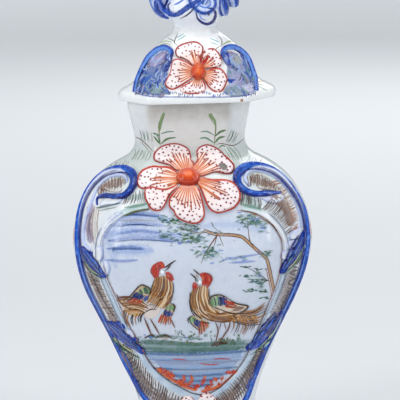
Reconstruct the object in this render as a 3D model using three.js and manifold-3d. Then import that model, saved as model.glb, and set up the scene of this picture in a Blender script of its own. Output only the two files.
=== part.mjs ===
// A lidded garniture vase of tin-glazed earthenware: a flattened eight-sided baluster on a spread
// foot, a loose domed lid with a scroll knop, and moulded flowers and scrollwork luted to the front.
// Millimetres, +Z up, the front faces -Y, the origin is on the table under the middle of the foot.
import * as THREE from 'three';
import { mergeVertices } from 'three/addons/utils/BufferGeometryUtils.js';
import Module from 'manifold-3d';

const wasm = await Module();
wasm.setup();

// Driving sizes
const wallThickness = 6.5; // thrown and pressed clay wall, measured square to the surface
const lutingGap = 0.3; // clear space between two pieces that touch
const mouthHeight = 254; // top of the vase without its lid
const floorHeight = 43; // upper face of the vase's floor, just above the waist
const recessHeight = 29; // roof of the hollow under the foot
const footRingWidth = 7; // bare ring that the vase stands on
const lidSit = 6; // the loose lid lies this far to the right within its clearance
const flangeHalfWidth = 28; // locating flange under the lid, half of its width
const flangeDepth = 11; // how far the flange hangs into the mouth
const flangeWall = 5;
const lidWall = 5.5;
const lidHollowTop = 293.5; // the hollow under the lid ends below this height
const knopBase = mouthHeight + 49.3; // just above the lid's neck
const reliefSink = 3; // how deep the relief is laid into the wall before the wall cuts it
const frontEdge = 0.985; // relief on the front stops at this share of the half width
const halvings = 40; // steps of the searches for a height or a depth

// Plan of the pot for a half width of 1: a wide front facet, canted corners and narrow sides
const depthShare = 0.72;
const frontShare = 0.63;
const sideShare = 0.2;
const cantLength = Math.hypot(depthShare - sideShare, 1 - frontShare);
const cantX = (depthShare - sideShare) / cantLength;
const cantY = (1 - frontShare) / cantLength;
const cantReach = cantX * frontShare + cantY * depthShare;

// How sharp the plan's corners are: a higher power leaves a crisper edge
const bodyCrispness = 16;
const lidCrispness = 34;
const knopCrispness = 9;

// Rings along the two outlines and along the relief
const bodySteps = 28;
const lidSteps = 11;
const borderSteps = 34;
const scrollSteps = 28;
const lidScrollSteps = 12;
const leafSteps = 4;

// Half width against height, from the foot to the mouth
const bodyOutline = [
  [55, 0], [56, 1.5], [55.6, 7], [50.5, 15], [44, 25], [41.9, 36], [44.5, 48], [51.1, 66], [60.4, 88],
  [71.4, 110], [80.1, 131], [84.8, 152], [82.9, 170], [77.7, 184], [69.1, 197.5], [57.8, 207],
  [44.6, 214.4], [39.6, 220.5], [39.1, 228], [41.1, 238.5], [43.1, 248], [43.3, mouthHeight],
];
// Half width against height, from the lid's rim to its neck
const lidOutline = [
  [53.6, mouthHeight + lutingGap], [54.4, 255.5], [54.4, 258.4], [52.7, 260.5], [48.6, 262.6], [44.2, 265.2],
  [41.2, 269], [36.7, 278.5], [31, 286.8], [22.3, 295], [16.2, 299.8], [15.4, 303],
];

const glaze = { roughness: 0.15, metalness: 0 };
const whiteGlaze = new THREE.MeshStandardMaterial({ ...glaze, color: 0xe6eaee });
const coverGlaze = new THREE.MeshStandardMaterial({ ...glaze, color: 0xe9ebec });
const ironRed = new THREE.MeshStandardMaterial({ ...glaze, color: 0xd98a72 });
const cobalt = new THREE.MeshStandardMaterial({ ...glaze, color: 0x2a50b4 });
const celadon = new THREE.MeshStandardMaterial({ ...glaze, color: 0xbfd0d8 });
const blueAndWhite = new THREE.MeshStandardMaterial({ ...glaze, color: 0x8fa6da });

// Solids: closed lofts, and joining and cutting them

function toSolid(geometry) {
  geometry.deleteAttribute('normal');
  geometry.deleteAttribute('uv');
  const merged = mergeVertices(geometry, 1e-5);
  const vertProperties = new Float32Array(merged.attributes.position.array);
  const triVerts = new Uint32Array(merged.index.array);
  return new wasm.Manifold(new wasm.Mesh({ numProp: 3, vertProperties, triVerts }));
}

function toGeometry(solid) {
  const mesh = solid.getMesh();
  const geometry = new THREE.BufferGeometry();
  geometry.setAttribute('position', new THREE.BufferAttribute(mesh.vertProperties, 3));
  geometry.setIndex(new THREE.BufferAttribute(mesh.triVerts, 1));
  geometry.computeVertexNormals();
  return geometry;
}

function enclosedVolume(points, index) {
  let sum = 0;
  for (let i = 0; i < index.length; i += 3) {
    const [a, b, c] = [points[index[i]], points[index[i + 1]], points[index[i + 2]]];
    sum += a.dot(b.clone().cross(c)) / 6;
  }
  return sum;
}

// Joins rings of equally many points, one after the other, and closes both ends with a fan
function loft(rings) {
  const points = rings.flat();
  const count = rings[0].length;
  const index = [];
  for (let r = 0; r + 1 < rings.length; r++) {
    for (let k = 0; k < count; k++) {
      const next = (k + 1) % count;
      const [a, b] = [r * count + k, r * count + next];
      index.push(a, b, b + count, a, b + count, a + count);
    }
  }
  const middle = (ring) => ring.reduce((sum, p) => sum.add(p), new THREE.Vector3()).divideScalar(count);
  const lastRing = (rings.length - 1) * count;
  const [startMiddle, endMiddle] = [points.length, points.length + 1];
  points.push(middle(rings[0]), middle(rings[rings.length - 1]));
  for (let k = 0; k < count; k++) {
    const next = (k + 1) % count;
    index.push(startMiddle, next, k, endMiddle, lastRing + k, lastRing + next);
  }
  if (enclosedVolume(points, index) < 0) index.reverse();
  const geometry = new THREE.BufferGeometry().setFromPoints(points);
  geometry.setIndex(index);
  return geometry;
}

// The pot's plan: a smooth octagon, as a rounded maximum of the reach to its facets

function planSize(x, y, half, inset, crispness) {
  const reaches = [
    Math.abs(x) / (half - inset),
    Math.abs(y) / (half * depthShare - inset),
    Math.abs(cantX * x + cantY * y) / (half * cantReach - inset),
    Math.abs(cantX * x - cantY * y) / (half * cantReach - inset),
  ];
  const largest = Math.max(...reaches);
  const sum = reaches.reduce((total, reach) => total + (reach / largest) ** crispness, 0);
  return largest * sum ** (1 / crispness);
}

const facetStops = [0, 0.12, 0.37, 0.63, 0.88]; // closer together beside the corners
const planCorners = [
  [1, -sideShare], [1, sideShare], [frontShare, depthShare], [-frontShare, depthShare],
  [-1, sideShare], [-1, -sideShare], [-frontShare, -depthShare], [frontShare, -depthShare],
];
const planDirections = planCorners.flatMap((corner, i) => {
  const nextCorner = planCorners[(i + 1) % planCorners.length];
  return facetStops.map((stop) => new THREE.Vector2(...corner).lerp(new THREE.Vector2(...nextCorner), stop));
});

function planRing(half, height, { inset = 0, crispness = bodyCrispness, sit = 0 } = {}) {
  return planDirections.map(({ x, y }) => {
    const scale = 1 / planSize(x, y, half, inset, crispness);
    return new THREE.Vector3(x * scale + sit, y * scale, height);
  });
}

function outlineCurve(outline) {
  return new THREE.SplineCurve(outline.map(([half, height]) => new THREE.Vector2(half, height)));
}

// Half width, height and outward normal of an outline, moved outwards by a distance
function stations(outline, steps, distance = 0) {
  const curve = outlineCurve(outline);
  return Array.from({ length: steps + 1 }, (unused, i) => {
    const along = curve.getTangent(i / steps);
    const point = curve.getPoint(i / steps);
    return { half: point.x, height: point.y + distance * -along.x, inset: -distance * along.y };
  });
}

const bodyCurve = outlineCurve(bodyOutline);
const lidCurve = outlineCurve(lidOutline);

function halfWidthAt(curve, height) {
  let [low, high] = [0, 1];
  for (let i = 0; i < halvings; i++) {
    const middle = (low + high) / 2;
    if (curve.getPoint(middle).y < height) low = middle;
    else high = middle;
  }
  return curve.getPoint(low).x;
}

// Point and outward normal of the front wall where a line of sight along +Y meets it
function onFront(pot, x, height) {
  const half = halfWidthAt(pot.curve, height);
  const size = (px, py) => planSize(px, py, 1, 0, pot.crispness);
  const across = THREE.MathUtils.clamp(x - pot.sit, -frontEdge * half, frontEdge * half);
  let [low, high] = [-half * depthShare, 0];
  for (let i = 0; i < halvings; i++) {
    const middle = (low + high) / 2;
    if (size(across, middle) > half) low = middle;
    else high = middle;
  }
  const step = 0.05;
  const slope = (halfWidthAt(pot.curve, height + step) - halfWidthAt(pot.curve, height - step)) / (2 * step);
  const normal = new THREE.Vector3(
    (size(across + step, low) - size(across - step, low)) / (2 * step),
    (size(across, low + step) - size(across, low - step)) / (2 * step),
    -slope,
  ).normalize();
  return { point: new THREE.Vector3(across + pot.sit, low, height), normal };
}

const bodyPot = { curve: bodyCurve, crispness: bodyCrispness, sit: 0 };
const lidPot = { curve: lidCurve, crispness: lidCrispness, sit: lidSit };

// The vase and the lid

function vaseBody() {
  const outside = stations(bodyOutline, bodySteps);
  const inside = stations(bodyOutline, bodySteps / 2, -wallThickness)
    .filter(({ height }) => height > floorHeight + 5 && height < mouthHeight - 1);
  const mouth = halfWidthAt(bodyCurve, mouthHeight);
  const floor = halfWidthAt(bodyCurve, floorHeight);
  const foot = bodyOutline[0][0];
  const recess = [
    planRing(floor, recessHeight, { inset: 3.6 * wallThickness }),
    planRing(floor, recessHeight, { inset: 2 * wallThickness }),
    planRing(floor + 1, recessHeight - 4, { inset: wallThickness + 2 }),
    planRing(foot - 6, 8, { inset: wallThickness }),
    planRing(foot, 0, { inset: footRingWidth }),
  ];
  const shell = outside.map(({ half, height }) => planRing(half, height));
  const lining = inside.reverse().map(({ half, height, inset }) => planRing(half, height, { inset }));
  const basin = [
    planRing(floor, floorHeight + 2, { inset: wallThickness + 1 }),
    planRing(floor, floorHeight, { inset: wallThickness + 5 }),
    planRing(floor, floorHeight, { inset: wallThickness + 14 }),
  ];
  const lip = planRing(mouth, mouthHeight, { inset: wallThickness });
  return loft([...recess, ...shell, lip, ...lining, ...basin]);
}

function lidCover() {
  const rim = mouthHeight + lutingGap;
  const options = { crispness: lidCrispness, sit: lidSit };
  const ring = (half, height, inset = 0) => planRing(half, height, { ...options, inset });
  const dome = stations(lidOutline, lidSteps).map(({ half, height }) => ring(half, height));
  const hollow = stations(lidOutline, lidSteps, -lidWall)
    .filter(({ height }) => height > rim + 9 && height < lidHollowTop)
    .reverse()
    .map(({ half, height, inset }) => ring(half, height, inset));
  return loft([
    ...hollow,
    ring(flangeHalfWidth, rim + 4, flangeWall),
    ring(flangeHalfWidth, rim - flangeDepth + 1, flangeWall),
    ring(flangeHalfWidth, rim - flangeDepth, flangeWall - 1),
    ring(flangeHalfWidth, rim - flangeDepth, 1),
    ring(flangeHalfWidth, rim - flangeDepth + 1),
    ring(flangeHalfWidth, rim),
    ...dome,
  ]);
}

// A filled pot a little larger than the real one, which seats the relief on the wall
function seatCutter(outline, steps, { crispness, sit }) {
  const grown = stations(outline, steps, lutingGap)
    .map(({ half, height, inset }) => planRing(half, height, { inset, crispness, sit }));
  return toSolid(loft(grown));
}

// Relief that follows the wall: raised bands and petals, sunk into the wall and then cut by it

const archStops = [1, 0.7, 0, -0.7, -1]; // across a band, from one foot to the other

// A path holds [across, height, width, thickness] from one end to the other
function raisedBand(pot, path, steps) {
  const curveOf = (pick) => new THREE.CatmullRomCurve3(path.map((stop) => new THREE.Vector3(...pick(stop))));
  const line = curveOf(([x, height]) => [x, 0, height]);
  const sizes = curveOf(([, , width, thick]) => [width, thick, 0]);
  const spots = Array.from({ length: steps + 1 }, (unused, i) => {
    const flat = line.getPoint(i / steps);
    const size = sizes.getPoint(i / steps);
    return { ...onFront(pot, flat.x, flat.z), width: size.x, thick: size.y };
  });
  const rings = spots.map(({ point, normal, width, thick }, i) => {
    const before = spots[Math.max(i - 1, 0)].point;
    const after = spots[Math.min(i + 1, steps)].point;
    const side = new THREE.Vector3().subVectors(after, before).cross(normal).normalize();
    const place = (across, up) => point.clone().addScaledVector(side, across).addScaledVector(normal, up);
    const arch = archStops.map((stop) => place(stop * width / 2, thick * Math.sqrt(1 - 0.8 * stop * stop)));
    return [place(width / 2, -reliefSink), ...arch, place(-width / 2, -reliefSink)];
  });
  return toSolid(loft(rings));
}

// A petal or a boss: an outline round its root, raised in the middle and thin at the rim
function raisedPetal(pot, { root, reach, turn, spread, thick }) {
  const rows = 3;
  const columns = 10;
  const cast = (along, across, up) => {
    const x = root[0] + along * Math.cos(turn) - across * Math.sin(turn);
    const height = root[1] + along * Math.sin(turn) + across * Math.cos(turn);
    const { point, normal } = onFront(pot, x, height);
    return point.addScaledVector(normal, up);
  };
  const outline = Array.from({ length: columns }, (unused, k) => {
    const angle = (k / columns) * 2 * Math.PI;
    const narrowing = 0.62 + 0.38 * Math.cos(angle);
    return [reach * (0.5 + 0.5 * Math.cos(angle)), spread * Math.sin(angle) * Math.sqrt(narrowing + 0.2)];
  });
  const heart = [reach * 0.55, 0];
  const rings = Array.from({ length: rows }, (unused, r) => {
    const share = 1 - r / rows;
    const up = thick * (0.55 + 0.45 * Math.cos(share * Math.PI / 2));
    return outline.map(([a, c]) => cast(heart[0] + (a - heart[0]) * share, (c - heart[1]) * share, up));
  });
  const under = outline.map(([a, c]) => cast(a, c, -reliefSink));
  return toSolid(loft([under, ...rings]));
}

function raisedBoss(pot, [x, height], radius, thick) {
  const sides = 12;
  const rows = [[1, -reliefSink], [1, thick * 0.55], [0.86, thick * 0.86], [0.5, thick], [0.2, thick * 0.96]];
  const seat = onFront(pot, x, height);
  const rings = rows.map(([share, up]) => Array.from({ length: sides }, (unused, k) => {
    const angle = (k / sides) * 2 * Math.PI;
    const out = radius * share;
    const spot = onFront(pot, x + out * Math.cos(angle), height + out * Math.sin(angle));
    return spot.point.addScaledVector(seat.normal, up);
  }));
  return toSolid(loft(rings));
}

function flower(pot, cutter, { heart, petals, boss }) {
  const solids = petals.map(([degrees, reach, spread, thick]) => raisedPetal(pot, {
    root: heart, reach, turn: THREE.MathUtils.degToRad(degrees), spread, thick,
  }));
  const whole = solids.reduce((sum, petal) => sum.add(petal));
  return whole.add(raisedBoss(pot, heart, ...boss)).subtract(cutter);
}

// The moulded picture frame on the front of the vase: [across, height, width, thickness]

const leftScroll = [
  [-20.3, 39.6, 5, 1.8], [-30.1, 40.8, 5.5, 2], [-37.8, 46.9, 6, 2], [-44.1, 58.4, 6, 2.1],
  [-51.5, 73, 6, 2.2], [-58.6, 90.2, 6, 2.3], [-66, 107, 6.2, 2.4], [-73.1, 123.1, 6.4, 2.5],
  [-77.3, 139.2, 6.5, 2.6], [-79, 153.4, 6.5, 2.6], [-78.8, 165.1, 6.5, 2.6],
  [-76.8, 177.1, 6.5, 2.7], [-72.8, 187.7, 6.5, 2.8], [-66.2, 197.1, 7, 3.2],
  [-57.2, 204.2, 7.5, 3.6], [-47.2, 207.8, 7.4, 3.8], [-40.2, 207.3, 7, 3.8],
  [-38.5, 203.3, 6.2, 3.6], [-40.8, 198.2, 5.6, 3.2], [-46, 194, 5, 2.8], [-53.4, 192.1, 4.5, 2.4],
  [-60.6, 190.5, 3, 1.8],
];
const rightScroll = [
  [20.8, 37.6, 5, 1.8], [28.6, 38, 5.5, 2], [34.5, 43.5, 6, 2], [39.3, 56.3, 6, 2.1],
  [45.6, 72.2, 6, 2.2], [52.2, 86, 6, 2.3], [60.6, 102.4, 6.2, 2.4], [68.5, 118.6, 6.4, 2.5],
  [74.8, 135.3, 6.5, 2.6], [78.2, 150.7, 6.5, 2.6], [78.7, 162.4, 6.5, 2.6],
  [76.4, 174.9, 6.5, 2.7], [71.4, 186.2, 6.5, 2.8], [64.7, 195.6, 7, 3.2], [56.2, 203.1, 7.5, 3.6],
  [45.8, 207.7, 7.4, 3.8], [37, 208.4, 7, 3.8], [32, 205.2, 6.4, 3.6], [32.5, 199.8, 5.8, 3.2],
  [37.4, 195.2, 5.2, 2.8], [44.8, 192.8, 4.8, 2.6], [52.5, 191.8, 4.2, 2.4], [60, 191.4, 3, 1.8],
];
const leftLeaves = [
  [[-78.4, 160.5, 3.4, 2.6], [-73.6, 152.4, 8, 3.4], [-69, 146, 7.6, 3], [-64, 140.5, 2.5, 1.6]],
  [[-68.2, 112.5, 3.4, 2.4], [-56.9, 98.7, 8, 3.2], [-49.2, 91.6, 7.4, 2.8], [-42.4, 87, 2.5, 1.6]],
];
const rightLeaves = [
  [[78.2, 164, 3.4, 2.6], [74.1, 154.5, 8, 3.4], [69, 147, 7.6, 3], [63.9, 140.5, 2.5, 1.6]],
  [[61.2, 103.2, 3.4, 2.4], [52.4, 94.4, 8, 3.2], [47.2, 89, 6.4, 2.8], [43, 85.4, 2.5, 1.6]],
];
const pictureBorder = [
  [-28.8, 187.4], [-38.3, 186], [-46.6, 183.2], [-53.6, 178], [-59.7, 170.9], [-63.3, 163.3],
  [-64.2, 154.9], [-63.3, 145], [-60.7, 134.7], [-56.6, 124.4], [-50.9, 109.6], [-45.2, 95.6],
  [-38.8, 81.8], [-31.2, 69], [-21.1, 58.7], [-10.9, 51.9], [-4.7, 48.2], [2.2, 46.5], [9.2, 47.5],
  [15.6, 50.7], [24.1, 58.4], [31.6, 67], [37.7, 76.4], [43.5, 89.4], [48.9, 103.2], [53.6, 115.3],
  [58.3, 126.6], [61.7, 137.2], [63.2, 147.2], [63.2, 157.2], [60.9, 165.2], [56.2, 172.9],
  [50.5, 178.6], [43.4, 182.8], [33.6, 185.3],
].map(([x, height]) => [x, height, 4.2, 1.5]);

// Flowers: petals as [direction in degrees, reach, half spread, thickness], boss as [radius, thickness]
const upperFlower = {
  heart: [-1, 204.8],
  petals: [
    [118, 24, 13, 3.4], [38, 31, 12, 3.6], [176, 36, 10, 3.2], [219, 33, 12, 3], [272, 31, 15, 3.4],
    [333, 35, 15, 3.2],
  ],
  boss: [8.4, 7.5],
};
const lowerFlower = {
  heart: [1, 29],
  petals: [
    [118, 20, 11, 3], [56, 21, 11, 3], [186, 20, 10, 2.8], [354, 20, 10, 2.8], [238, 20, 10, 2.6],
    [302, 20, 10, 2.6],
  ],
  boss: [6.5, 6.5],
};
const lidFlower = {
  heart: [7, 275.5],
  petals: [
    [106, 20, 9.5, 2.6], [36, 19, 8.5, 2.6], [186, 23, 11, 2.8], [252, 15, 9, 2.4], [331, 22, 10, 2.8],
  ],
  boss: [5.6, 5],
};
const lidLeftScroll = [
  [-37, 261.6, 3.5, 1.6], [-35, 267.5, 4.5, 2], [-31.5, 275, 4.5, 2.2], [-26.5, 283, 4.5, 2.4],
  [-20.5, 288.6, 4.5, 2.4], [-14.8, 290.6, 4, 2.4], [-11.2, 288, 3.6, 2.2], [-12.2, 284, 3, 1.8],
];
const lidRightScroll = [
  [46.5, 261.2, 3.5, 1.6], [46, 266.5, 4.5, 2], [44, 273, 4.5, 2.2], [41, 280.5, 4.5, 2.4],
  [36.2, 286.2, 4.5, 2.4], [30.5, 288.8, 4.2, 2.4], [26.8, 286.2, 3.8, 2.2], [28, 281, 3.4, 2],
  [33, 277, 3, 1.8],
];

// Scroll knop: its core as half width and height, and curls that are swept side by side with it as
// [across, depth, height, half width, half depth]

const knopCore = [
  [15.9, 0], [16.6, 2.6], [19.4, 6], [22.2, 9.5], [22.6, 14], [20.6, 20], [18, 27], [14.5, 35], [10, 41],
  [4.5, 44.5],
];
const bigVolute = [
  [8, 0, 40, 4.5, 8], [3, 0, 25, 5.4, 10], [-6, 0, 15.5, 5.4, 11], [-16, 0, 11, 5, 11],
  [-24.5, 0, 14.4, 5, 10.5], [-27.4, 0, 23, 4.8, 10], [-22.6, 0, 30.5, 4.4, 9.5], [-15, 0, 30.5, 4, 9],
  [-11.5, 0, 24.5, 3.4, 8.5], [-15.5, 0, 19.5, 3, 8], [-20, 0, 22, 2.4, 7.5],
];
const frontCurl = [
  [-1, -9, 33, 2.8, 3.6], [-2.6, -12.5, 23, 3.2, 3.8], [0.8, -14.5, 15, 3.2, 3.8], [7, -15, 11.6, 3.1, 3.6],
  [12.4, -15, 14.8, 2.8, 3.4], [12.4, -14.8, 19.4, 2.5, 3.2], [8.4, -14.6, 21, 2.3, 3],
  [6.6, -14.4, 18, 2, 2.8],
];
const plumes = [
  [[6, 0, 34, 4.6, 9], [14.5, 0, 24.5, 5, 11], [19.2, 0, 15, 4.8, 11.5], [20.5, 0, 9, 3, 9]],
  [[6, 0, 38, 4.6, 9], [17.5, 0, 33, 5.2, 10], [25.6, 0, 22.6, 5, 10], [28.4, 0, 15, 2.6, 8]],
  [[3, 0, 38, 5, 8], [14, 0, 44.5, 5.4, 9], [26.5, 0, 43, 5.4, 9.5], [34.2, 0, 35, 5, 9],
    [36, 0, 27.4, 4, 8.5], [32.6, 0, 23.6, 3.2, 8], [29.6, 0, 27, 2.4, 7]],
  [[3, 0, 34, 7, 9], [-4, 0, 43.5, 6, 8], [-5.4, 0, 51.6, 4.8, 6.5], [0, 0, 56.6, 3.6, 5],
    [5, 0, 54, 2.4, 4]],
  [[-3, 0, 33, 5, 8], [-10, 0, 39, 4.4, 7], [-16.5, 0, 43.4, 3.2, 5.5], [-20.4, 0, 40.6, 2, 4.4]],
];
// Clay that fills the curls from behind: middle [across, height], then half width, depth and height
const cheeks = [[[-19, 21.5], [9.5, 6.5, 9.5]], [[21, 30], [12, 6, 12]]];

function sweptCurl(path, steps) {
  const places = path.map(([x, y, height]) => new THREE.Vector3(x + lidSit, y, knopBase + height));
  const line = new THREE.CatmullRomCurve3(places);
  const halves = path.map(([, , , half, deep]) => new THREE.Vector3(half, deep, 0));
  const sizes = new THREE.CatmullRomCurve3(halves);
  const sides = 6;
  const rings = Array.from({ length: steps + 1 }, (unused, i) => {
    const centre = line.getPoint(i / steps);
    const size = sizes.getPoint(i / steps);
    const along = line.getTangent(i / steps);
    const side = new THREE.Vector3(0, 1, 0).cross(along).normalize();
    const depth = new THREE.Vector3().crossVectors(along, side);
    return Array.from({ length: sides }, (ignored, k) => {
      const angle = ((k + 0.5) / sides) * 2 * Math.PI;
      const [across, deep] = [size.x * Math.cos(angle), size.y * Math.sin(angle)];
      return centre.clone().addScaledVector(side, across).addScaledVector(depth, deep);
    });
  });
  return toSolid(loft(rings));
}

function scrollKnop() {
  const options = { crispness: knopCrispness, sit: lidSit };
  const core = toSolid(loft(knopCore.map(([half, rise]) => planRing(half, knopBase + rise, options))));
  const backCurl = frontCurl.map(([x, y, ...rest]) => [x, -y, ...rest]);
  const fills = cheeks.map(([[x, height], halves]) => toSolid(
    new THREE.SphereGeometry(1, 10, 7).scale(...halves).translate(x + lidSit, 0, knopBase + height),
  ));
  const leaves = plumes.map((path) => sweptCurl(path, 3 * (path.length - 1)));
  const curls = [sweptCurl(bigVolute, 22), sweptCurl(frontCurl, 15), sweptCurl(backCurl, 15)];
  return [...curls, ...leaves, ...fills].reduce((whole, curl) => whole.add(curl), core);
}

// Assembly

const bodySeat = seatCutter(bodyOutline, bodySteps, bodyPot);
const lidSeat = seatCutter(lidOutline, lidSteps, lidPot);

// Relief and the room that its neighbours leave for it
const bodyBand = (path, steps) => raisedBand(bodyPot, path, steps);
const lidBand = (path) => raisedBand(lidPot, path, lidScrollSteps);
const widened = (path) => path.map(([x, height, width, thick]) => (
  [x, height, width + 2 * lutingGap, thick + lutingGap]
));
const bodyRoom = [
  bodyBand(widened(leftScroll), scrollSteps), bodyBand(widened(rightScroll), scrollSteps),
  bodyBand(widened(pictureBorder), borderSteps),
];
const leafRoom = [...leftLeaves, ...rightLeaves].map((leaf) => bodyBand(widened(leaf), leafSteps));
const lidRoom = [lidBand(widened(lidLeftScroll)), lidBand(widened(lidRightScroll))];
const cutBy = (solid, rooms) => rooms.reduce((rest, room) => rest.subtract(room), solid);

function sideScroll(path, leaves) {
  const band = bodyBand(path, scrollSteps);
  return leaves.reduce((whole, leaf) => whole.add(bodyBand(leaf, leafSteps)), band).subtract(bodySeat);
}

const pot = new THREE.Group();
const vase = new THREE.Group();
const lid = new THREE.Group();
pot.add(vase, lid);

function addPiece(group, name, shape, material) {
  const geometry = shape.isBufferGeometry ? shape : toGeometry(shape);
  const mesh = new THREE.Mesh(geometry, material);
  mesh.name = name;
  group.add(mesh);
}

addPiece(vase, 'vase_body', vaseBody(), whiteGlaze);
addPiece(vase, 'left_scroll', sideScroll(leftScroll, leftLeaves), cobalt);
addPiece(vase, 'right_scroll', sideScroll(rightScroll, rightLeaves), cobalt);
const borderStrip = cutBy(bodyBand(pictureBorder, borderSteps), [bodySeat, ...leafRoom]);
addPiece(vase, 'picture_border', borderStrip, celadon);
addPiece(vase, 'upper_flower', cutBy(flower(bodyPot, bodySeat, upperFlower), bodyRoom), ironRed);
addPiece(vase, 'lower_flower', cutBy(flower(bodyPot, bodySeat, lowerFlower), bodyRoom), ironRed);
addPiece(lid, 'lid_cover', lidCover(), coverGlaze);
addPiece(lid, 'lid_left_scroll', lidBand(lidLeftScroll).subtract(lidSeat), cobalt);
addPiece(lid, 'lid_right_scroll', lidBand(lidRightScroll).subtract(lidSeat), cobalt);
addPiece(lid, 'lid_flower', cutBy(flower(lidPot, lidSeat, lidFlower), lidRoom), ironRed);
addPiece(lid, 'finial', scrollKnop(), blueAndWhite);
export default pot;
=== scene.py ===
import math
import bmesh
import bpy
import numpy as np
from mathutils import Matrix, Vector


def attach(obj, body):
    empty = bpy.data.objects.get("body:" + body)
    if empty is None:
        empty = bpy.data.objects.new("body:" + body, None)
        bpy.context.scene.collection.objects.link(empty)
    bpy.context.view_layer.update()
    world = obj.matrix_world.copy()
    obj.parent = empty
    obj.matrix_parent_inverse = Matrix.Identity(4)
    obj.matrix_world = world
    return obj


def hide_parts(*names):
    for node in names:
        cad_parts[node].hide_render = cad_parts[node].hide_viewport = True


# Lidded vase of tin-glazed earthenware, painted in blue, green, brown and iron red
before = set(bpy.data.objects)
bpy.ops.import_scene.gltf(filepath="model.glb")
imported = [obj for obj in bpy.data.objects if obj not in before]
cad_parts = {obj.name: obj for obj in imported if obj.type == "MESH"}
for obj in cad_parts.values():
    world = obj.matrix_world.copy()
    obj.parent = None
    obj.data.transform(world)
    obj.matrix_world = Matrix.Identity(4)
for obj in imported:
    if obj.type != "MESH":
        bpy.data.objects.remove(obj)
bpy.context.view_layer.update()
scene = bpy.context.scene
mm = 0.001
print("frame loaded:", len(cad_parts), "nodes")


# Small helpers

class Wire:
    # a node's output that can be reckoned with: each sign lays a Math node
    def __init__(self, socket):
        self.socket = socket


def plug(value, socket):
    if isinstance(value, Wire):
        socket.id_data.links.new(value.socket, socket)
    else:
        socket.default_value = value


def addNode(tree, kind, inputs=None, **settings):
    # kinds are written without the words in front of them
    isGeometry = tree.bl_idname == "GeometryNodeTree" and hasattr(bpy.types, "GeometryNode" + kind)
    node = tree.nodes.new(("GeometryNode" if isGeometry else "ShaderNode") + kind)
    for name, value in settings.items():
        setattr(node, name, value)
    for name, value in (inputs or {}).items():
        plug(value, node.inputs[name])
    return node


def wire(tree, kind, inputs=None, out=0, **settings):
    return Wire(addNode(tree, kind, inputs, **settings).outputs[out])


def calc(operation, *values, **settings):
    tree = next(value.socket.id_data for value in values if isinstance(value, Wire))
    return wire(tree, "Math", dict(enumerate(values)), operation=operation, **settings)


signs = {"add": "ADD", "sub": "SUBTRACT", "mul": "MULTIPLY", "truediv": "DIVIDE", "pow": "POWER"}
for sign, operation in signs.items():
    setattr(Wire, f"__{sign}__", lambda a, b, operation=operation: calc(operation, a, b))
    setattr(Wire, f"__r{sign}__", lambda a, b, operation=operation: calc(operation, b, a))


def vectorCalc(operation, a, b=None, scale=None, out=0):
    inputs = {name: value for name, value in ((0, a), (1, b), ("Scale", scale)) if value is not None}
    return wire(a.socket.id_data, "VectorMath", inputs, out, operation=operation)


def parts(vector):
    return [Wire(socket) for socket in addNode(vector.socket.id_data, "SeparateXYZ", {0: vector}).outputs]


def band(value, low, high, first=0.0, last=1.0, **settings):
    # value as a share of the way from low to high
    limits = {"Value": value, "From Min": low, "From Max": high, "To Min": first, "To Max": last}
    return wire(value.socket.id_data, "MapRange", limits, **settings)


def blend(share, a, b):
    return wire(share.socket.id_data, "Mix", {"Factor": share, 6: a, 7: b}, 2, data_type="RGBA")


def noise(spot, scale, detail, **inputs):
    inputs = {"Vector": spot, "Scale": scale, "Detail": detail, **inputs}
    return wire(spot.socket.id_data, "TexNoise", inputs, "Fac")


def newTree(name, kind, inputs, outputs):
    # sockets with their starting values, or with the socket's kind where there is none
    tree = bpy.data.node_groups.new(name, kind)
    for direction, sockets in (("INPUT", inputs), ("OUTPUT", outputs)):
        for title, value in sockets.items():
            written = {int: "Int", float: "Float", tuple: "Color"}.get(type(value), value)
            socket = tree.interface.new_socket(title, in_out=direction, socket_type="NodeSocket" + written)
            if written != value:
                socket.default_value = value
    given = {socket.name: Wire(socket) for socket in tree.nodes.new("NodeGroupInput").outputs}
    return tree, given, tree.nodes.new("NodeGroupOutput").inputs


def endTree(tree, geometry, material, made):
    real = wire(tree, "RealizeInstances", {"Geometry": geometry})
    plug(wire(tree, "SetMaterial", {"Geometry": real, "Material": material}), made["Geometry"])
    return tree


def newMaterial(name):
    material = bpy.data.materials.new(name)
    material.use_nodes = True
    return material, material.node_tree, material.node_tree.nodes["Principled BSDF"].inputs


def runTree(obj, tree, values):
    # sets the inputs by identifier, evaluates once and leaves a plain mesh
    modifier = obj.modifiers.new(tree.name, "NODES")
    modifier.node_group = tree
    for item in tree.interface.items_tree:
        if item.item_type == "SOCKET" and item.in_out == "INPUT" and item.name in values:
            modifier[item.identifier] = values[item.name]
    obj.update_tag()
    evaluated = obj.evaluated_get(bpy.context.evaluated_depsgraph_get())
    mesh = bpy.data.meshes.new_from_object(evaluated)
    obj.modifiers.remove(modifier)
    if len(mesh.materials) > 1 and mesh.materials[0] is None:
        mesh.materials.pop(index=0)
    obj.data = mesh
    mesh.name = obj.name


def addObject(name, mesh):
    obj = bpy.data.objects.new(name, mesh)
    scene.collection.objects.link(obj)
    return obj


def meshFrom(name, points, faces=(), edges=(), smooth=True):
    mesh = bpy.data.meshes.new(name)
    mesh.from_pydata([tuple(p) for p in np.asarray(points, float)], edges, faces)
    if smooth:
        mesh.shade_smooth()
    return mesh


def pointsOf(mesh):
    flat = np.empty(len(mesh.vertices) * 3, np.float32)
    mesh.vertices.foreach_get("co", flat)
    return flat.reshape(-1, 3).astype(float)


def storeColour(mesh, name, colours):
    layer = mesh.attributes.new(name, "FLOAT_COLOR", "POINT")
    layer.data.foreach_set("color", np.asarray(colours, np.float32).ravel())


def storeValue(mesh, name, values):
    layer = mesh.attributes.new(name, "FLOAT", "POINT")
    layer.data.foreach_set("value", np.asarray(values, np.float32).ravel())


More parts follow.
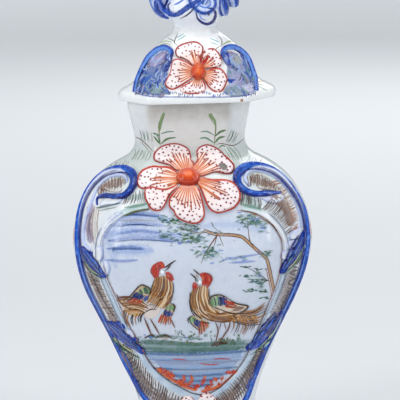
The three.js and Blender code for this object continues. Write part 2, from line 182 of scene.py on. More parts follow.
def storePaint(mesh, colours, wear=0):
    # glaze colours with their amounts, and where the glaze is worn
    storeColour(mesh, "painted", colours)
    storeValue(mesh, "wear", np.broadcast_to(wear, len(mesh.vertices)))


def tint(code):
    # a written colour such as "2a50b4" as linear light
    shares = np.array([int(code[i:i + 2], 16) for i in (0, 2, 4)]) / 255
    return np.where(shares <= 0.04045, shares / 12.92, ((shares + 0.055) / 1.055) ** 2.4)


def opaque(code):
    return (*tint(code), 1)


def smooth(low, high, value):
    t = np.clip((value - low) / (high - low), 0, 1)
    return t * t * (3 - 2 * t)


def speckle(points, size, seed=0):
    # smooth random field of 0 to 1 over points of any dimension, with features of that size
    grid = np.asarray(points, float) / size
    cell = np.floor(grid)
    part = grid - cell
    part = part * part * (3 - 2 * part)
    dims = grid.shape[1]
    total = np.zeros(len(grid))
    for corner in range(2 ** dims):
        bits = np.array([(corner >> d) & 1 for d in range(dims)])
        weight = np.prod(np.where(bits, part, 1 - part), axis=1)
        key = (cell + bits) @ np.array([12.9898, 78.233, 37.719])[:dims] + seed * 19.19
        total += weight * np.modf(np.abs(np.sin(key) * 43758.5453))[0]
    return total


# The pot's form, in millimetres: a smooth octagon in plan along an outline of half width and height

plan = {"depthShare": 0.72, "frontShare": 0.63, "sideShare": 0.2}
cantLength = math.hypot(plan["depthShare"] - plan["sideShare"], 1 - plan["frontShare"])
plan["cantX"] = (plan["depthShare"] - plan["sideShare"]) / cantLength
plan["cantY"] = (1 - plan["frontShare"]) / cantLength
plan["cantReach"] = plan["cantX"] * plan["frontShare"] + plan["cantY"] * plan["depthShare"]

vasePot = {
    "outline": [
        [55, 0], [56, 1.5], [55.6, 7], [50.5, 15], [44, 25], [41.9, 36], [44.5, 48], [51.1, 66], [60.4, 88],
        [71.4, 110], [80.1, 131], [84.8, 152], [82.9, 170], [77.7, 184], [69.1, 197.5], [57.8, 207],
        [44.6, 214.4], [39.6, 220.5], [39.1, 228], [41.1, 238.5], [43.1, 248], [43.3, 254],
    ],
    "crispness": 16, "sit": 0.0,
}
lidPot = {
    "outline": [
        [53.6, 254.3], [54.4, 255.5], [54.4, 258.4], [52.7, 260.5], [48.6, 262.6], [44.2, 265.2],
        [41.2, 269], [36.7, 278.5], [31, 286.8], [22.3, 295], [16.2, 299.8], [15.4, 303],
    ],
    "crispness": 34, "sit": 6.0,
}
search = {
    # how points are brought onto the wall, and how lines of sight are followed to it
    "probe": 0.02, "seatTurns": 6, "seatStep": 0.9,
    "sightFrom": 1700.0, "sightTurns": 60, "sightStep": 0.7, "back": -3, "ahead": 12, "leastFacing": 0.25,
}


def pairs(values, size=2):
    # numbers listed flat, as rows
    return np.asarray(values, float).reshape(-1, size)


def catmull(stops, steps):
    stops = np.asarray(stops, float)
    t = np.linspace(0, len(stops) - 1, steps * (len(stops) - 1) + 1)
    i = np.minimum(t.astype(int), len(stops) - 2)
    f = (t - i)[:, None]
    before, a = stops[np.maximum(i - 1, 0)], stops[i]
    b, after = stops[i + 1], stops[np.minimum(i + 2, len(stops) - 1)]
    v0, v1 = (b - before) / 2, (after - a) / 2
    return (2 * a - 2 * b + v0 + v1) * f ** 3 + (-3 * a + 3 * b - 2 * v0 - v1) * f ** 2 + v0 * f + a


for pot in (vasePot, lidPot):
    pot["curve"] = catmull(pot["outline"], 40)
    pot["slope"] = np.gradient(pot["curve"][:, 0], pot["curve"][:, 1] + np.arange(len(pot["curve"])) * 1e-9)


def planSize(x, y, crispness):
    reaches = np.stack([
        np.abs(x), np.abs(y) / plan["depthShare"],
        np.abs(plan["cantX"] * x + plan["cantY"] * y) / plan["cantReach"],
        np.abs(plan["cantX"] * x - plan["cantY"] * y) / plan["cantReach"],
    ]) + 1e-9
    largest = reaches.max(0)
    return largest * ((reaches / largest) ** crispness).sum(0) ** (1 / crispness)


def wallField(pot, p):
    # signed distance to the wall and its outward normal
    x, y, z = p[:, 0] - pot["sit"], p[:, 1], p[:, 2]
    step = search["probe"]
    half = np.interp(z, pot["curve"][:, 1], pot["curve"][:, 0])
    slope = np.interp(z, pot["curve"][:, 1], pot["slope"])
    size = planSize(x, y, pot["crispness"])
    gx = (planSize(x + step, y, pot["crispness"]) - planSize(x - step, y, pot["crispness"])) / (2 * step)
    gy = (planSize(x, y + step, pot["crispness"]) - planSize(x, y - step, pot["crispness"])) / (2 * step)
    grad = np.stack([gx, gy, -slope], 1)
    length = np.linalg.norm(grad, axis=1, keepdims=True)
    return (size - half) / length[:, 0], grad / length


def seat(pot, points):
    # nearest points of the wall, and the normals there
    p = np.array(points, float)
    for _ in range(search["seatTurns"]):
        distance, normal = wallField(pot, p)
        p -= normal * distance[:, None] * search["seatStep"]
    return p, wallField(pot, p)[1]


# The photograph's view: what the camera sees, in pixels of a 400 by 400 picture

photoView = {
    "pitch": 10.0, "roll": 1.55, "distance": 1800.0, "aim": (5.95, 0.0, 181.0),
    "pixel": 0.7, "middle": 200.0, "sensor": 36.0,
}


def viewAxes(view):
    pitch, roll = math.radians(view["pitch"]), math.radians(view["roll"])
    forward = np.array([0, math.cos(pitch), -math.sin(pitch)])
    right, up = np.array([1.0, 0, 0]), np.array([0, math.sin(pitch), math.cos(pitch)])
    turned = right * math.cos(roll) - up * math.sin(roll)
    return forward, turned, right * math.sin(roll) + up * math.cos(roll)


photoForward, photoRight, photoUp = viewAxes(photoView)
photoAim = np.array(photoView["aim"])
photoEye = photoAim - photoForward * photoView["distance"]


def toPhoto(points):
    away = np.asarray(points, float) - photoEye
    scale = photoView["distance"] / (away @ photoForward) / photoView["pixel"]
    middle = photoView["middle"]
    return np.stack([middle + (away @ photoRight) * scale, middle - (away @ photoUp) * scale], 1)


def fromPhoto(pot, pixels):
    # where the line of sight through each pixel meets the wall
    pixels = np.asarray(pixels, float)
    flat = (pixels - photoView["middle"]) * photoView["pixel"]
    rays = photoForward * photoView["distance"] + flat[:, :1] * photoRight - flat[:, 1:] * photoUp
    rays /= np.linalg.norm(rays, axis=1, keepdims=True)
    reach = np.full(len(pixels), search["sightFrom"])
    for _ in range(search["sightTurns"]):
        distance, normal = wallField(pot, photoEye + rays * reach[:, None])
        closing = np.maximum(-(normal * rays).sum(1), search["leastFacing"])
        reach += np.clip(distance / closing * search["sightStep"], search["back"], search["ahead"])
    return photoEye + rays * reach[:, None]


def addCamera():
    data = bpy.data.cameras.new("photoCamera")
    data.sensor_width = photoView["sensor"]
    data.lens = photoView["sensor"] * photoView["distance"] / (2 * photoView["middle"] * photoView["pixel"])
    data.clip_start, data.clip_end = 0.05, 40
    camera = addObject("photoCamera", data)
    axes = np.stack([photoRight, photoUp, -photoForward], 1)
    camera.matrix_world = Matrix.Translation(photoEye * mm) @ Matrix(axes.tolist()).to_4x4()
    scene.camera = camera


addCamera()


# Studio: a pale floor that turns up into a round cove, and soft lamps

studio = {
    "floorRadius": 3.6, "coveHeight": 2.6, "coveTurn": 1.4, "floorColour": "dcdfe2", "floorRoughness": 0.9,
    "worldColour": "f2f5fa", "worldStrength": 0.44, "glow": 0.5, "glowFrom": 0.6,
    "lamps": [
        # name, place, size across and up, watts
        ("leftSoftbox", (-1.5, -1.15, 0.75), (0.7, 1.5), 17),
        ("rightSoftbox", (1.65, -1.0, 0.85), (0.6, 1.4), 13),
        ("topSoftbox", (0.1, -0.5, 2.1), (1.5, 1.2), 21), ("backSoftbox", (0.4, 1.9, 1.2), (1.4, 1.0), 12),
    ],
    "lookAt": (0.0, 0.0, 0.18),
}


def buildStudio():
    floorEdge, turn, top = studio["floorRadius"], studio["coveTurn"], studio["coveHeight"]
    line = [(0.0, 0.0)] + [(r, 0.0) for r in np.linspace(0.3, floorEdge, 8)]
    rounding = np.linspace(0.15, math.pi / 2, 10)
    line += [(floorEdge + turn * math.sin(a), turn * (1 - math.cos(a))) for a in rounding]
    line.append((floorEdge + turn, top))
    sides = 96
    angles = np.arange(sides) / sides * 2 * math.pi
    points = [(0, 0, 0)] + [(r * math.cos(a), r * math.sin(a), z) for r, z in line[1:] for a in angles]
    faces = [(0, 1 + k, 1 + (k + 1) % sides) for k in range(sides)]
    for row in range(len(line) - 2):
        for k in range(sides):
            a, b = 1 + row * sides + k, 1 + row * sides + (k + 1) % sides
            faces.append((a, a + sides, b + sides, b))
    floor = addObject("studioFloor", meshFrom("studioFloor", points, faces))
    material, tree, surface = newMaterial("paleFloor")
    for name in ("Base Color", "Emission Color"):
        plug(opaque(studio["floorColour"]), surface[name])
    plug(studio["floorRoughness"], surface["Roughness"])
    # far from the lamps the floor glows a little to the camera, which keeps the backdrop pale
    distance = vectorCalc("LENGTH", wire(tree, "TexCoord", out="Object"), out="Value")
    rise = band(distance, studio["glowFrom"], floorEdge, 0.0, studio["glow"])
    plug(rise * wire(tree, "LightPath", out="Is Camera Ray"), surface["Emission Strength"])
    floor.data.materials.append(material)
    world = bpy.data.worlds.new("studioWorld")
    scene.world = world
    world.use_nodes = True
    glow = world.node_tree.nodes["Background"].inputs
    plug(opaque(studio["worldColour"]), glow["Color"])
    plug(studio["worldStrength"], glow["Strength"])
    for name, place, (across, up), watts in studio["lamps"]:
        data = bpy.data.lights.new(name, "AREA")
        data.shape, data.size, data.size_y, data.energy = "RECTANGLE", across, up, watts
        lamp = addObject(name, data)
        aim = (Vector(studio["lookAt"]) - Vector(place)).to_track_quat("-Z", "Y")
        lamp.matrix_world = Matrix.Translation(place) @ aim.to_matrix().to_4x4()
    scene.view_settings.view_transform = "Standard"


buildStudio()
print("camera and studio ready")


# The two shells: one tree lofts an octagon along a line of half width, inset and height

shells = {
    "vase": {
        "pot": vasePot, "columns": 330, "frontBias": 0.36, "wall": 6.5, "paintRows": 168, "plainRows": 66,
        "mouth": 254.0, "lipRound": 2.4, "floor": 43.0, "recessRoof": 29.0, "footRing": 7.0,
    },
    "lid": {
        "pot": lidPot, "columns": 300, "frontBias": 0.3, "wall": 5.5, "rim": 254.3, "flangeHalf": 28.0,
        "flangeDepth": 11.0, "flangeWall": 5.0, "hollowTop": 293.2,
    },
}

pole = 0.003  # half width of the row that closes each end, merged into one point


def loftTree():
    tree, given, made = newTree("octagonLoft", "GeometryNodeTree", {
        "Geometry": "Geometry", "Columns": 300, "Front Bias": 0.3, "Crispness": 16.0,
        "Depth Share": plan["depthShare"], "Cant X": plan["cantX"], "Cant Y": plan["cantY"],
        "Cant Reach": plan["cantReach"], "Sit": 0.0, "Material": "Material",
    }, {"Geometry": "Geometry"})
    columns, line = given["Columns"], {"Geometry": given["Geometry"]}
    across = columns + 1.0
    rows = wire(tree, "AttributeDomainSize", line, "Point Count", component="MESH")
    grid = wire(tree, "MeshGrid", {"Size X": 1.0, "Size Y": 1.0, "Vertices X": rows, "Vertices Y": across})
    index = wire(tree, "InputIndex")
    row = calc("FLOOR", (index + 0.5) / across)
    column = index - row * across
    sampled = {**line, "Value": wire(tree, "InputPosition"), "Index": row}
    half, inset, height = parts(wire(tree, "SampleIndex", sampled, "Value", data_type="FLOAT_VECTOR"))
    turn = column / columns * (2 * math.pi)
    # columns crowd together at the front, where the picture is
    angle = turn - calc("SINE", turn) * given["Front Bias"] - math.pi / 2
    x, y = calc("COSINE", angle), calc("SINE", angle)
    slants = [calc("MULTIPLY_ADD", given["Cant X"], x, given["Cant Y"] * side) for side in (y, y * -1.0)]
    walls = [(x, 1.0), (y, given["Depth Share"])] + [(slant, given["Cant Reach"]) for slant in slants]
    reaches = []
    for value, share in walls:
        reaches.append(calc("ABSOLUTE", value) / calc("MAXIMUM", half * share - inset, 1e-6))
    largest = reaches[0]
    for reach in reaches[1:]:
        largest = calc("MAXIMUM", largest, reach)
    total = 0.0
    for reach in reaches:
        total = total + (reach / largest) ** given["Crispness"]
    size = largest * total ** (1.0 / given["Crispness"])
    place = wire(tree, "CombineXYZ", {0: x / size + given["Sit"], 1: y / size, 2: height})
    moved = wire(tree, "SetPosition", {"Geometry": grid, "Position": place})
    closed = wire(tree, "MergeByDistance", {"Geometry": moved, "Distance": 1e-5})
    soft = wire(tree, "SetShadeSmooth", {"Geometry": wire(tree, "FlipFaces", {"Mesh": closed})})
    return endTree(tree, soft, given["Material"], made)


octagonLoft = loftTree()


def linePart(pot, low, high, count, wall=0.0):
    # stations of the outline between two heights, or of the inner face of a wall of that thickness
    curve = pot["curve"]
    reach = np.concatenate([[0], np.cumsum(np.hypot(*np.diff(curve, axis=0).T))])
    at = np.linspace(*[np.interp(z, curve[:, 1], reach) for z in (low, high)], count)
    half, height = np.interp(at, reach, curve[:, 0]), np.interp(at, reach, curve[:, 1])
    dx, dz = np.gradient(half), np.gradient(height)
    length = np.hypot(dx, dz)
    return list(zip(half, wall * dz / length, height + wall * dx / length))


def roundOver(half, height, radius, count=6):
    # the rounded outer edge of a rim, from its side to its top
    turns = np.radians(np.linspace(12, 90, count))
    return [(half, radius * (1 - math.cos(a)), height + radius * math.sin(a)) for a in turns]


def buildLoft(name, line, settings, material):
    line = np.asarray(line, float)
    edges = [(i, i + 1) for i in range(len(line) - 1)]
    obj = addObject(name, meshFrom(name, line * mm, edges=edges, smooth=False))
    pot = settings["pot"]
    runTree(obj, octagonLoft, {
        "Columns": settings["columns"], "Front Bias": settings["frontBias"],
        "Crispness": float(pot["crispness"]), "Sit": pot["sit"] * mm, "Material": material,
    })
    return obj


def vaseLine():
    own = shells["vase"]
    pot, wall, mouth = own["pot"], own["wall"], own["mouth"]
    floorHalf = float(np.interp(own["floor"], pot["curve"][:, 1], pot["curve"][:, 0]))
    mouthHalf = pot["outline"][-1][0]
    footHalf = pot["outline"][0][0]
    roof = own["recessRoof"]
    line = [(pole, 0.0, roof), (floorHalf, 3 * wall, roof), (floorHalf, wall + 6, roof)]
    line += [(floorHalf, wall + 2.5, roof - 1.5), (floorHalf + 1, wall + 1, roof - 5)]
    line += [(footHalf - 8, wall, 12), (footHalf - 5, wall, 6), (footHalf, own["footRing"] + 1.2, 0.5)]
    line += [(footHalf, own["footRing"], 0.12), (footHalf, own["footRing"] - 1.4, 0.0), (footHalf, 1.4, 0.0)]
    line += linePart(pot, 0.02, 44, 26) + linePart(pot, 44.6, 216, own["paintRows"])
    line += linePart(pot, 216.6, mouth - own["lipRound"], own["plainRows"] - 30)
    line += roundOver(mouthHalf, mouth - own["lipRound"], own["lipRound"])
    line += [(mouthHalf, wall - inset, mouth - drop) for inset, drop in ((1.6, 0), (0.4, 0.7), (0, 2))]
    line += linePart(pot, own["floor"] + 5, mouth - 4, 34, wall)[::-1]
    line += [(floorHalf, wall + 2, own["floor"] + 2), (floorHalf, wall + 5, own["floor"] + 0.4)]
    line += [(floorHalf, 3 * wall, own["floor"]), (pole, 0.0, own["floor"])]
    return line


def lidLine():
    own = shells["lid"]
    pot, wall, rim = own["pot"], own["wall"], own["rim"]
    neckHalf = pot["outline"][-1][0]
    flange, depth, thick = own["flangeHalf"], own["flangeDepth"], own["flangeWall"]
    hollow = [spot for spot in linePart(pot, 262, 300, 40, wall) if rim + 9 < spot[2] < own["hollowTop"]]
    last = hollow[-1]
    line = [(pole, 0.0, own["hollowTop"]), (last[0], last[1] + 4, own["hollowTop"] - 0.1)]
    line += hollow[::-1]
    line += [(flange + 4, thick, rim + 6.5), (flange, thick + 0.3, rim + 3), (flange, thick, rim - depth + 2)]
    line += [(flange, thick - 0.5, rim - depth + 0.5), (flange, thick - 1.5, rim - depth)]
    line += [(flange, 1.5, rim - depth), (flange, 0.4, rim - depth + 0.5), (flange, 0.0, rim - depth + 2)]
    line += [(flange, 0.0, rim - 1.2), (flange + 1.5, 0.2, rim - 0.1), (flange + 8, 0.0, rim)]
    line += [(45, 0.0, rim), (52.4, 0.0, rim)]
    line += linePart(pot, rim + 0.01, 261, 22) + linePart(pot, 261.4, 302.9, 74)
    line += [(neckHalf, 1.2, 303.25), (pole, 0.0, 303.3)]
    return line


# Glazes. Colours come from attributes painted below; the groups add what a fired glaze does to them

def glazeGroup():
    # tin glaze: faint mottling, thick bluish pools, pinholes, and clay that shows where it wears off
    tree, given, made = newTree("tinGlaze", "ShaderNodeTree", {
        "Ground": (0.8, 0.82, 0.84, 1), "Pooled": (0.6, 0.68, 0.78, 1), "Clay": (0.45, 0.3, 0.18, 1),
        "Wear": 0.0, "Mottling": 0.3, "Gloss": 0.13,
    }, {"Color": "Color", "Roughness": "Float", "Height": "Float"})
    spot = wire(tree, "TexCoord", out="Object")
    broad, fine, ripple, rare = (noise(spot, *look) for look in ((34, 3), (260, 4), (70, 1.5), (95, 0)))
    holes = wire(tree, "TexVoronoi", {"Vector": spot, "Scale": 210, "Randomness": 1}, "Distance")
    pit = band(holes, 0.14, 0.05) * band(rare, 0.6, 0.66)
    pooled = blend(band(broad, 0.35, 0.75) * given["Mottling"], given["Ground"], given["Pooled"])
    grained = vectorCalc("SCALE", pooled, scale=band(fine, 0.3, 0.7, 0.965, 1.02))
    worn = band(calc("MULTIPLY_ADD", fine, 0.55, given["Wear"]), 0.72, 0.86)
    pitted = blend(pit * 0.75, grained, given["Clay"])
    plug(blend(worn, pitted, given["Clay"]), made["Color"])
    matt = calc("MULTIPLY_ADD", pit, 0.3, calc("MULTIPLY_ADD", broad, 0.06, given["Gloss"]))
    plug(calc("MULTIPLY_ADD", worn, 0.5, matt), made["Roughness"])
    skin = calc("MULTIPLY_ADD", fine, 0.12, ripple * 0.9)
    plug(skin - calc("MULTIPLY_ADD", worn, 0.35, pit * 0.25), made["Height"])
    return tree


def inkGroup():
    # brushed colour: thin and thick along the stroke, a little darker where it gathered, ragged at the edge
    tree, given, made = newTree("brushedColour", "ShaderNodeTree", {
        "Ink": (0.1, 0.1, 0.4, 1), "Under": (0.8, 0.82, 0.84, 1), "Strength": 1.0, "Edge": 0.0, "Thin": 0.25,
        "Dry": 0.25, "Soft": 0.3, "Grain": 520.0,
    }, {"Color": "Color", "Roughness": "Float", "Height": "Float", "Alpha": "Float"})
    spot = wire(tree, "TexCoord", out="Object")
    grain = noise(spot, given["Grain"], 3)
    uneven = calc("MULTIPLY_ADD", grain, 0.5, noise(spot, 130, 2) * 0.5)
    plug(blend(band(uneven, 0.42, 0.7) * given["Thin"], given["Ink"], given["Under"]), made["Color"])
    plug(calc("MULTIPLY_ADD", grain, 0.08, 0.12), made["Roughness"])
    plug(grain * 0.15, made["Height"])
    # the edge comes in by the softness, and dry patches open by the same noise
    ragged = calc("MULTIPLY_ADD", grain - 0.5, 0.5, given["Edge"])
    body = band(ragged, 1.0 - given["Soft"], 1.03, 1.0, 0.0, interpolation_type="SMOOTHSTEP")
    patches = band(uneven, 0.46, 0.66) * given["Dry"]
    plug((1.0 - patches) * (body * given["Strength"]), made["Alpha"])
    return tree


tinGlaze = glazeGroup()
brushedColour = inkGroup()

glazes = {
    "whiteTin": {
        "ground": "e4e8ea", "pooled": "bccad8", "clay": "9a7656", "mottling": 0.42, "gloss": 0.11,
        "bump": 0.35, "relief": 0.0007, "shine": 0.4,
    },
    "coverTin": {
        "ground": "eceeee", "pooled": "ccd6dc", "clay": "9a7656", "mottling": 0.35, "gloss": 0.11,
        "bump": 0.35, "relief": 0.0006, "shine": 0.4,
    },
    "reliefTin": {
        "ground": "e8ebf0", "pooled": "c4d0e0", "clay": "8d7f74", "mottling": 0.3, "gloss": 0.12,
        "bump": 0.35, "relief": 0.0005, "shine": 0.3,
    },
    "enamelInk": {
        "under": "dfe2e6", "thin": 0.12, "dry": 0.14, "soft": 0.24,
        "bump": 0.2, "relief": 0.0002, "shine": 0.3,
    },
    "washInk": {
        "under": "ccd6e8", "thin": 0.3, "dry": 0.25, "soft": 0.6,
        "bump": 0.2, "relief": 0.0002, "shine": 0.3,
    },
}


def finishSurface(tree, surface, group, own):
    # what a group puts out, wired to the material's own shader
    for socket in group.outputs:
        if socket.name != "Height":
            plug(Wire(socket), surface[{"Color": "Base Color"}.get(socket.name, socket.name)])
    bump = {"Height": Wire(group.outputs["Height"]), "Strength": own["bump"], "Distance": own["relief"]}
    plug(wire(tree, "Bump", bump), surface["Normal"])
    plug(own["shine"], surface["Specular IOR Level"])


def glazeMaterial(name, own):
    # ground glaze under the painted colour, which is read from the mesh
    material, tree, surface = newMaterial(name)
    painted = addNode(tree, "Attribute", attribute_name="painted").outputs
    streak = noise(wire(tree, "TexCoord", out="Object"), 190, 4, Roughness=0.65)
    amount = calc("MULTIPLY", Wire(painted["Alpha"]), band(streak, 0.36, 0.62, 0.9, 1.12), use_clamp=True)
    group = addNode(tree, "Group", node_tree=tinGlaze)
    for title, value in (
        ("Ground", blend(amount, opaque(own["ground"]), Wire(painted["Color"]))),
        ("Pooled", opaque(own["pooled"])),
        ("Clay", opaque(own["clay"])), ("Wear", wire(tree, "Attribute", out="Fac", attribute_name="wear")),
        ("Mottling", (1.0 - amount) * own["mottling"]), ("Gloss", own["gloss"]),
    ):
        plug(value, group.inputs[title])
    finishSurface(tree, surface, group, own)
    return material


def inkMaterial(name, own):
    # a brushed line: colour and strength from the stroke, thinner at its edge and where the brush ran dry
    material, tree, surface = newMaterial(name)
    ink = addNode(tree, "Attribute", attribute_name="ink").outputs
    group = addNode(tree, "Group", node_tree=brushedColour)
    for title, value in (
        ("Ink", Wire(ink["Color"])), ("Strength", Wire(ink["Alpha"])), ("Under", opaque(own["under"])),
        ("Edge", wire(tree, "Attribute", out="Fac", attribute_name="edge")),
        *((title, own[title.lower()]) for title in ("Thin", "Dry", "Soft")),
    ):
        plug(value, group.inputs[title])
    finishSurface(tree, surface, group, own)
    return material


whiteTin, coverTin, reliefTin = (
    glazeMaterial(name, glazes[name]) for name in ("whiteTin", "coverTin", "reliefTin"))
enamelInk, washInk = (inkMaterial(name, glazes[name]) for name in ("enamelInk", "washInk"))
print("glazes ready")


vaseShell = buildLoft("vaseShell", vaseLine(), shells["vase"], whiteTin)
lidShell = buildLoft("lidShell", lidLine(), shells["lid"], coverTin)
for shell, body, node in ((vaseShell, "vase", "vase_body"), (lidShell, "lid", "lid_cover")):
    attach(shell, body)
    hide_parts(node)
    print(shell.name, len(shell.data.vertices), "points", len(shell.data.polygons), "faces")


# Relief: moulded rolls, leaves, petals and buttons, drawn in photo pixels and seated on the wall

relief = {
    "sinkEdge": 0.5,  # how far an edge dips under the glaze of the wall, in mm
    "rollUnder": -1.6, "padUnder": -1.4,  # how deep the hidden underside lies
    "stationGap": 0.9, "leastStations": 12, "endLength": 0.55, "endShare": 0.06,
    # pads from the underside to the middle: share of the outline, then of the thickness
    "pad": [
        (0.93, -1), (1, 0), (0.985, 0.34), (0.955, 0.64), (0.9, 0.87), (0.82, 0.97), (0.72, 1), (0.6, 0.98),
        (0.46, 0.95), (0.32, 0.92), (0.17, 0.9),
    ],
    "ribCount": 22,
}


def softNoise(points, size, seed):
    return speckle(points, size, seed) * 0.65 + speckle(points, size / 2.3, seed + 5) * 0.35


def closeStrip(rings):
    # faces between rings of equally many points, and a fan at both ends
    rows, count = rings.shape[:2]
    faces = []
    for r in range(rows - 1):
        for k in range(count):
            a, b = r * count + k, r * count + (k + 1) % count
            faces.append((a, b, b + count, a + count))
    base, last = rows * count, (rows - 1) * count
    for k in range(count):
        faces.append((base, (k + 1) % count, k))
        faces.append((base + 1, last + k, last + (k + 1) % count))
    return np.vstack([rings.reshape(-1, 3), rings[0].mean(0), rings[-1].mean(0)]), faces


# cross sections as (across from outer edge to inner edge, share of the thickness)
ribTurns = np.radians(np.linspace(-90, 90, 13))
ribSection = [(math.sin(a), math.cos(a) ** 0.7 if abs(a) < 1.57 else 0) for a in ribTurns]
scrollSection = [
    (-1, 0), (-0.95, 0.36), (-0.84, 0.7), (-0.66, 0.93), (-0.44, 1.0), (-0.2, 0.96), (0.02, 0.82),
    (0.22, 0.66), (0.42, 0.57), (0.6, 0.56), (0.76, 0.5), (0.9, 0.3), (1, 0),
]


def rollParts(pot, stops, section, hand=1, steps=8):
    # a moulded roll along pixel stops of x, y, width and thickness, with each point's place across and along
    fine = catmull(np.asarray(stops, float), steps)
    spots, normals = seat(pot, fromPhoto(pot, fine[:, :2]))
    reach = np.concatenate([[0], np.cumsum(np.linalg.norm(np.diff(spots, axis=0), axis=1))])
    count = max(int(reach[-1] / relief["stationGap"]), relief["leastStations"])
    at = np.linspace(0, reach[-1], count)
    spots = np.stack([np.interp(at, reach, spots[:, k]) for k in range(3)], 1)
    width, thick = (np.interp(at, reach, fine[:, k]) for k in (2, 3))
    spots, normals = seat(pot, spots)
    toEnd = np.clip(np.minimum(at, at[-1] - at) / (width * relief["endLength"]), 0, 1)
    blunt = np.sqrt(toEnd * (2 - toEnd)) * (1 - relief["endShare"]) + relief["endShare"]
    along = np.gradient(spots, axis=0)
    side = np.cross(along, normals) * hand
    side /= np.linalg.norm(side, axis=1, keepdims=True) + 1e-9
    rings, places = [], []
    for across, share in list(section) + [(0.6, -1), (-0.6, -1)]:
        foot, normal = seat(pot, spots + side * (across * width * blunt / 2)[:, None])
        rise = thick * blunt * share - relief["sinkEdge"] * (1 - min(share * 4, 1))
        if share < 0:
            rise = np.full(count, relief["rollUnder"])
        rings.append(foot + normal * rise[:, None])
        places.append(np.stack([np.full(count, across), at], 1))
    points, faces = closeStrip(np.stack(rings, 1))
    places = np.vstack([np.stack(places, 1).reshape(-1, 2), [[0, 0], [0, at[-1]]]])
    return points, faces, places


def evenLoop(outline, columns, steps=12):
    # a smooth closed loop through the outline, as equally spaced spots
    loop = np.asarray(outline, float)
    fine = catmull(np.vstack([loop[-2:], loop, loop[:2]]), steps)[2 * steps:(len(loop) + 2) * steps + 1]
    reach = np.concatenate([[0], np.cumsum(np.hypot(*np.diff(fine, axis=0).T))])
    at = np.linspace(0, reach[-1], columns, endpoint=False)
    return np.stack([np.interp(at, reach, fine[:, 0]), np.interp(at, reach, fine[:, 1])], 1)


def padParts(pot, outline, root, thick, cup=0.3, columns=84, ribs=0.0):
    # a pad of clay with a rounded rim that sinks towards its root; places are shares from middle and root
    rim, root = evenLoop(outline, columns), np.asarray(root, float)
    middle = rim.mean(0) * 0.75 + root * 0.25
    size = np.linalg.norm(rim - root, axis=1).max()
    rings, places = [], []
    for share, lift in relief["pad"]:
        flat = middle + (rim - middle) * share
        foot, normal = seat(pot, fromPhoto(pot, flat))
        near = np.linalg.norm(flat - root, axis=1) / size
        turn = np.arctan2(*(flat - root).T)
        fold = 1 + ribs * np.cos(turn * relief["ribCount"]) * smooth(0.2, 0.6, near) * (1 - near * 0.5)
        rise = thick * lift * (1 - cup + cup * smooth(0.1, 0.85, near)) * fold
        rise = rise - relief["sinkEdge"] * (1 - min(lift * 3, 1))
        if lift < 0:
            rise = np.full(columns, relief["padUnder"])
        rings.append(foot + normal * rise[:, None])
        places.append(np.stack([np.full(columns, share), near], 1))
    points, faces = closeStrip(np.stack(rings))
    return points, faces, np.vstack([np.stack(places).reshape(-1, 2), [[0.93, 0.5], [0, 0.5]]])


buttonLine = [
    (0.9, -1.4), (1.0, 0.0), (1.01, 0.28), (0.97, 0.5), (0.89, 0.62), (0.81, 0.6), (0.74, 0.62), (0.64, 0.78),
    (0.5, 0.91), (0.34, 0.98), (0.18, 1.0), (0.07, 1.0),
]


def buttonParts(pot, x, y, radius, thick, squash, columns=56):
    # the glazed button in a flower's heart: a dome in a soft ring
    (spot,), (normal,) = seat(pot, fromPhoto(pot, [(x, y)]))
    right = np.cross([0, 0, -1.0], normal)
    right /= np.linalg.norm(right)
    up = np.cross(normal, right) * squash
    angles = np.arange(columns) / columns * 2 * math.pi
    rings, places = [], []
    for share, lift in buttonLine:
        out = radius * share * (1 + 0.02 * np.sin(angles * 3 + 1))
        flat = spot + np.outer(np.cos(angles) * out, right) + np.outer(np.sin(angles) * out, up)
        foot, own = seat(pot, flat)
        rings.append(foot + own * (lift - 0.3) if lift <= 0 else flat + normal * (thick * lift))
        places.append(np.stack([np.full(columns, share), np.sin(angles)], 1))
    points, faces = closeStrip(np.stack(rings))
    return points, faces, np.vstack([np.stack(places).reshape(-1, 2), [[0.9, 0], [0, 0]]])


def joinParts(name, parts, material, body, nodes):
    # several closed parts as one piece of the pot; returns points, part numbers and places for painting
    points, faces, origin, places, start = [], [], [], [], 0
    for i, (own, ownFaces, ownPlaces) in enumerate(parts):
        points.append(own)
        places.append(ownPlaces)
        faces += [tuple(v + start for v in face) for face in ownFaces]
        origin += [i] * len(own)
        start += len(own)
    obj = addObject(name, meshFrom(name, np.vstack(points) * mm, faces))
    faceOut(obj.data)
    obj.data.materials.append(material)
    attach(obj, body)
    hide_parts(*nodes)
    print(name, len(obj.data.vertices), "points in", len(parts), "parts")
    return obj, np.vstack(points), np.array(origin), np.vstack(places)


def faceOut(mesh):
    form = bmesh.new()
    form.from_mesh(mesh)
    bmesh.ops.recalc_face_normals(form, faces=form.faces)
    form.to_mesh(mesh)
    form.free()
    mesh.shade_smooth()


def layColours(colours, *layers):
    # washes over the colours painted so far, which hold straight colour with its amount as alpha
    for amount, tone, strength in layers:
        cover = np.clip(amount * strength, 0, 1)[:, None]
        total = cover + colours[:, 3:] * (1 - cover)
        mixed = (tint(tone) * cover + colours[:, :3] * colours[:, 3:] * (1 - cover)) / np.maximum(total, 1e-6)
        colours[:, :3] = np.where(total > 1e-5, mixed, colours[:, :3])
        colours[:, 3:] = total


def blankPaint(count, tone="cfd8e4"):
    return np.tile([*tint(tone), 0.0], (count, 1))


# The moulded frame of the picture: cobalt C scrolls, ridges, leaves and the pale border strip

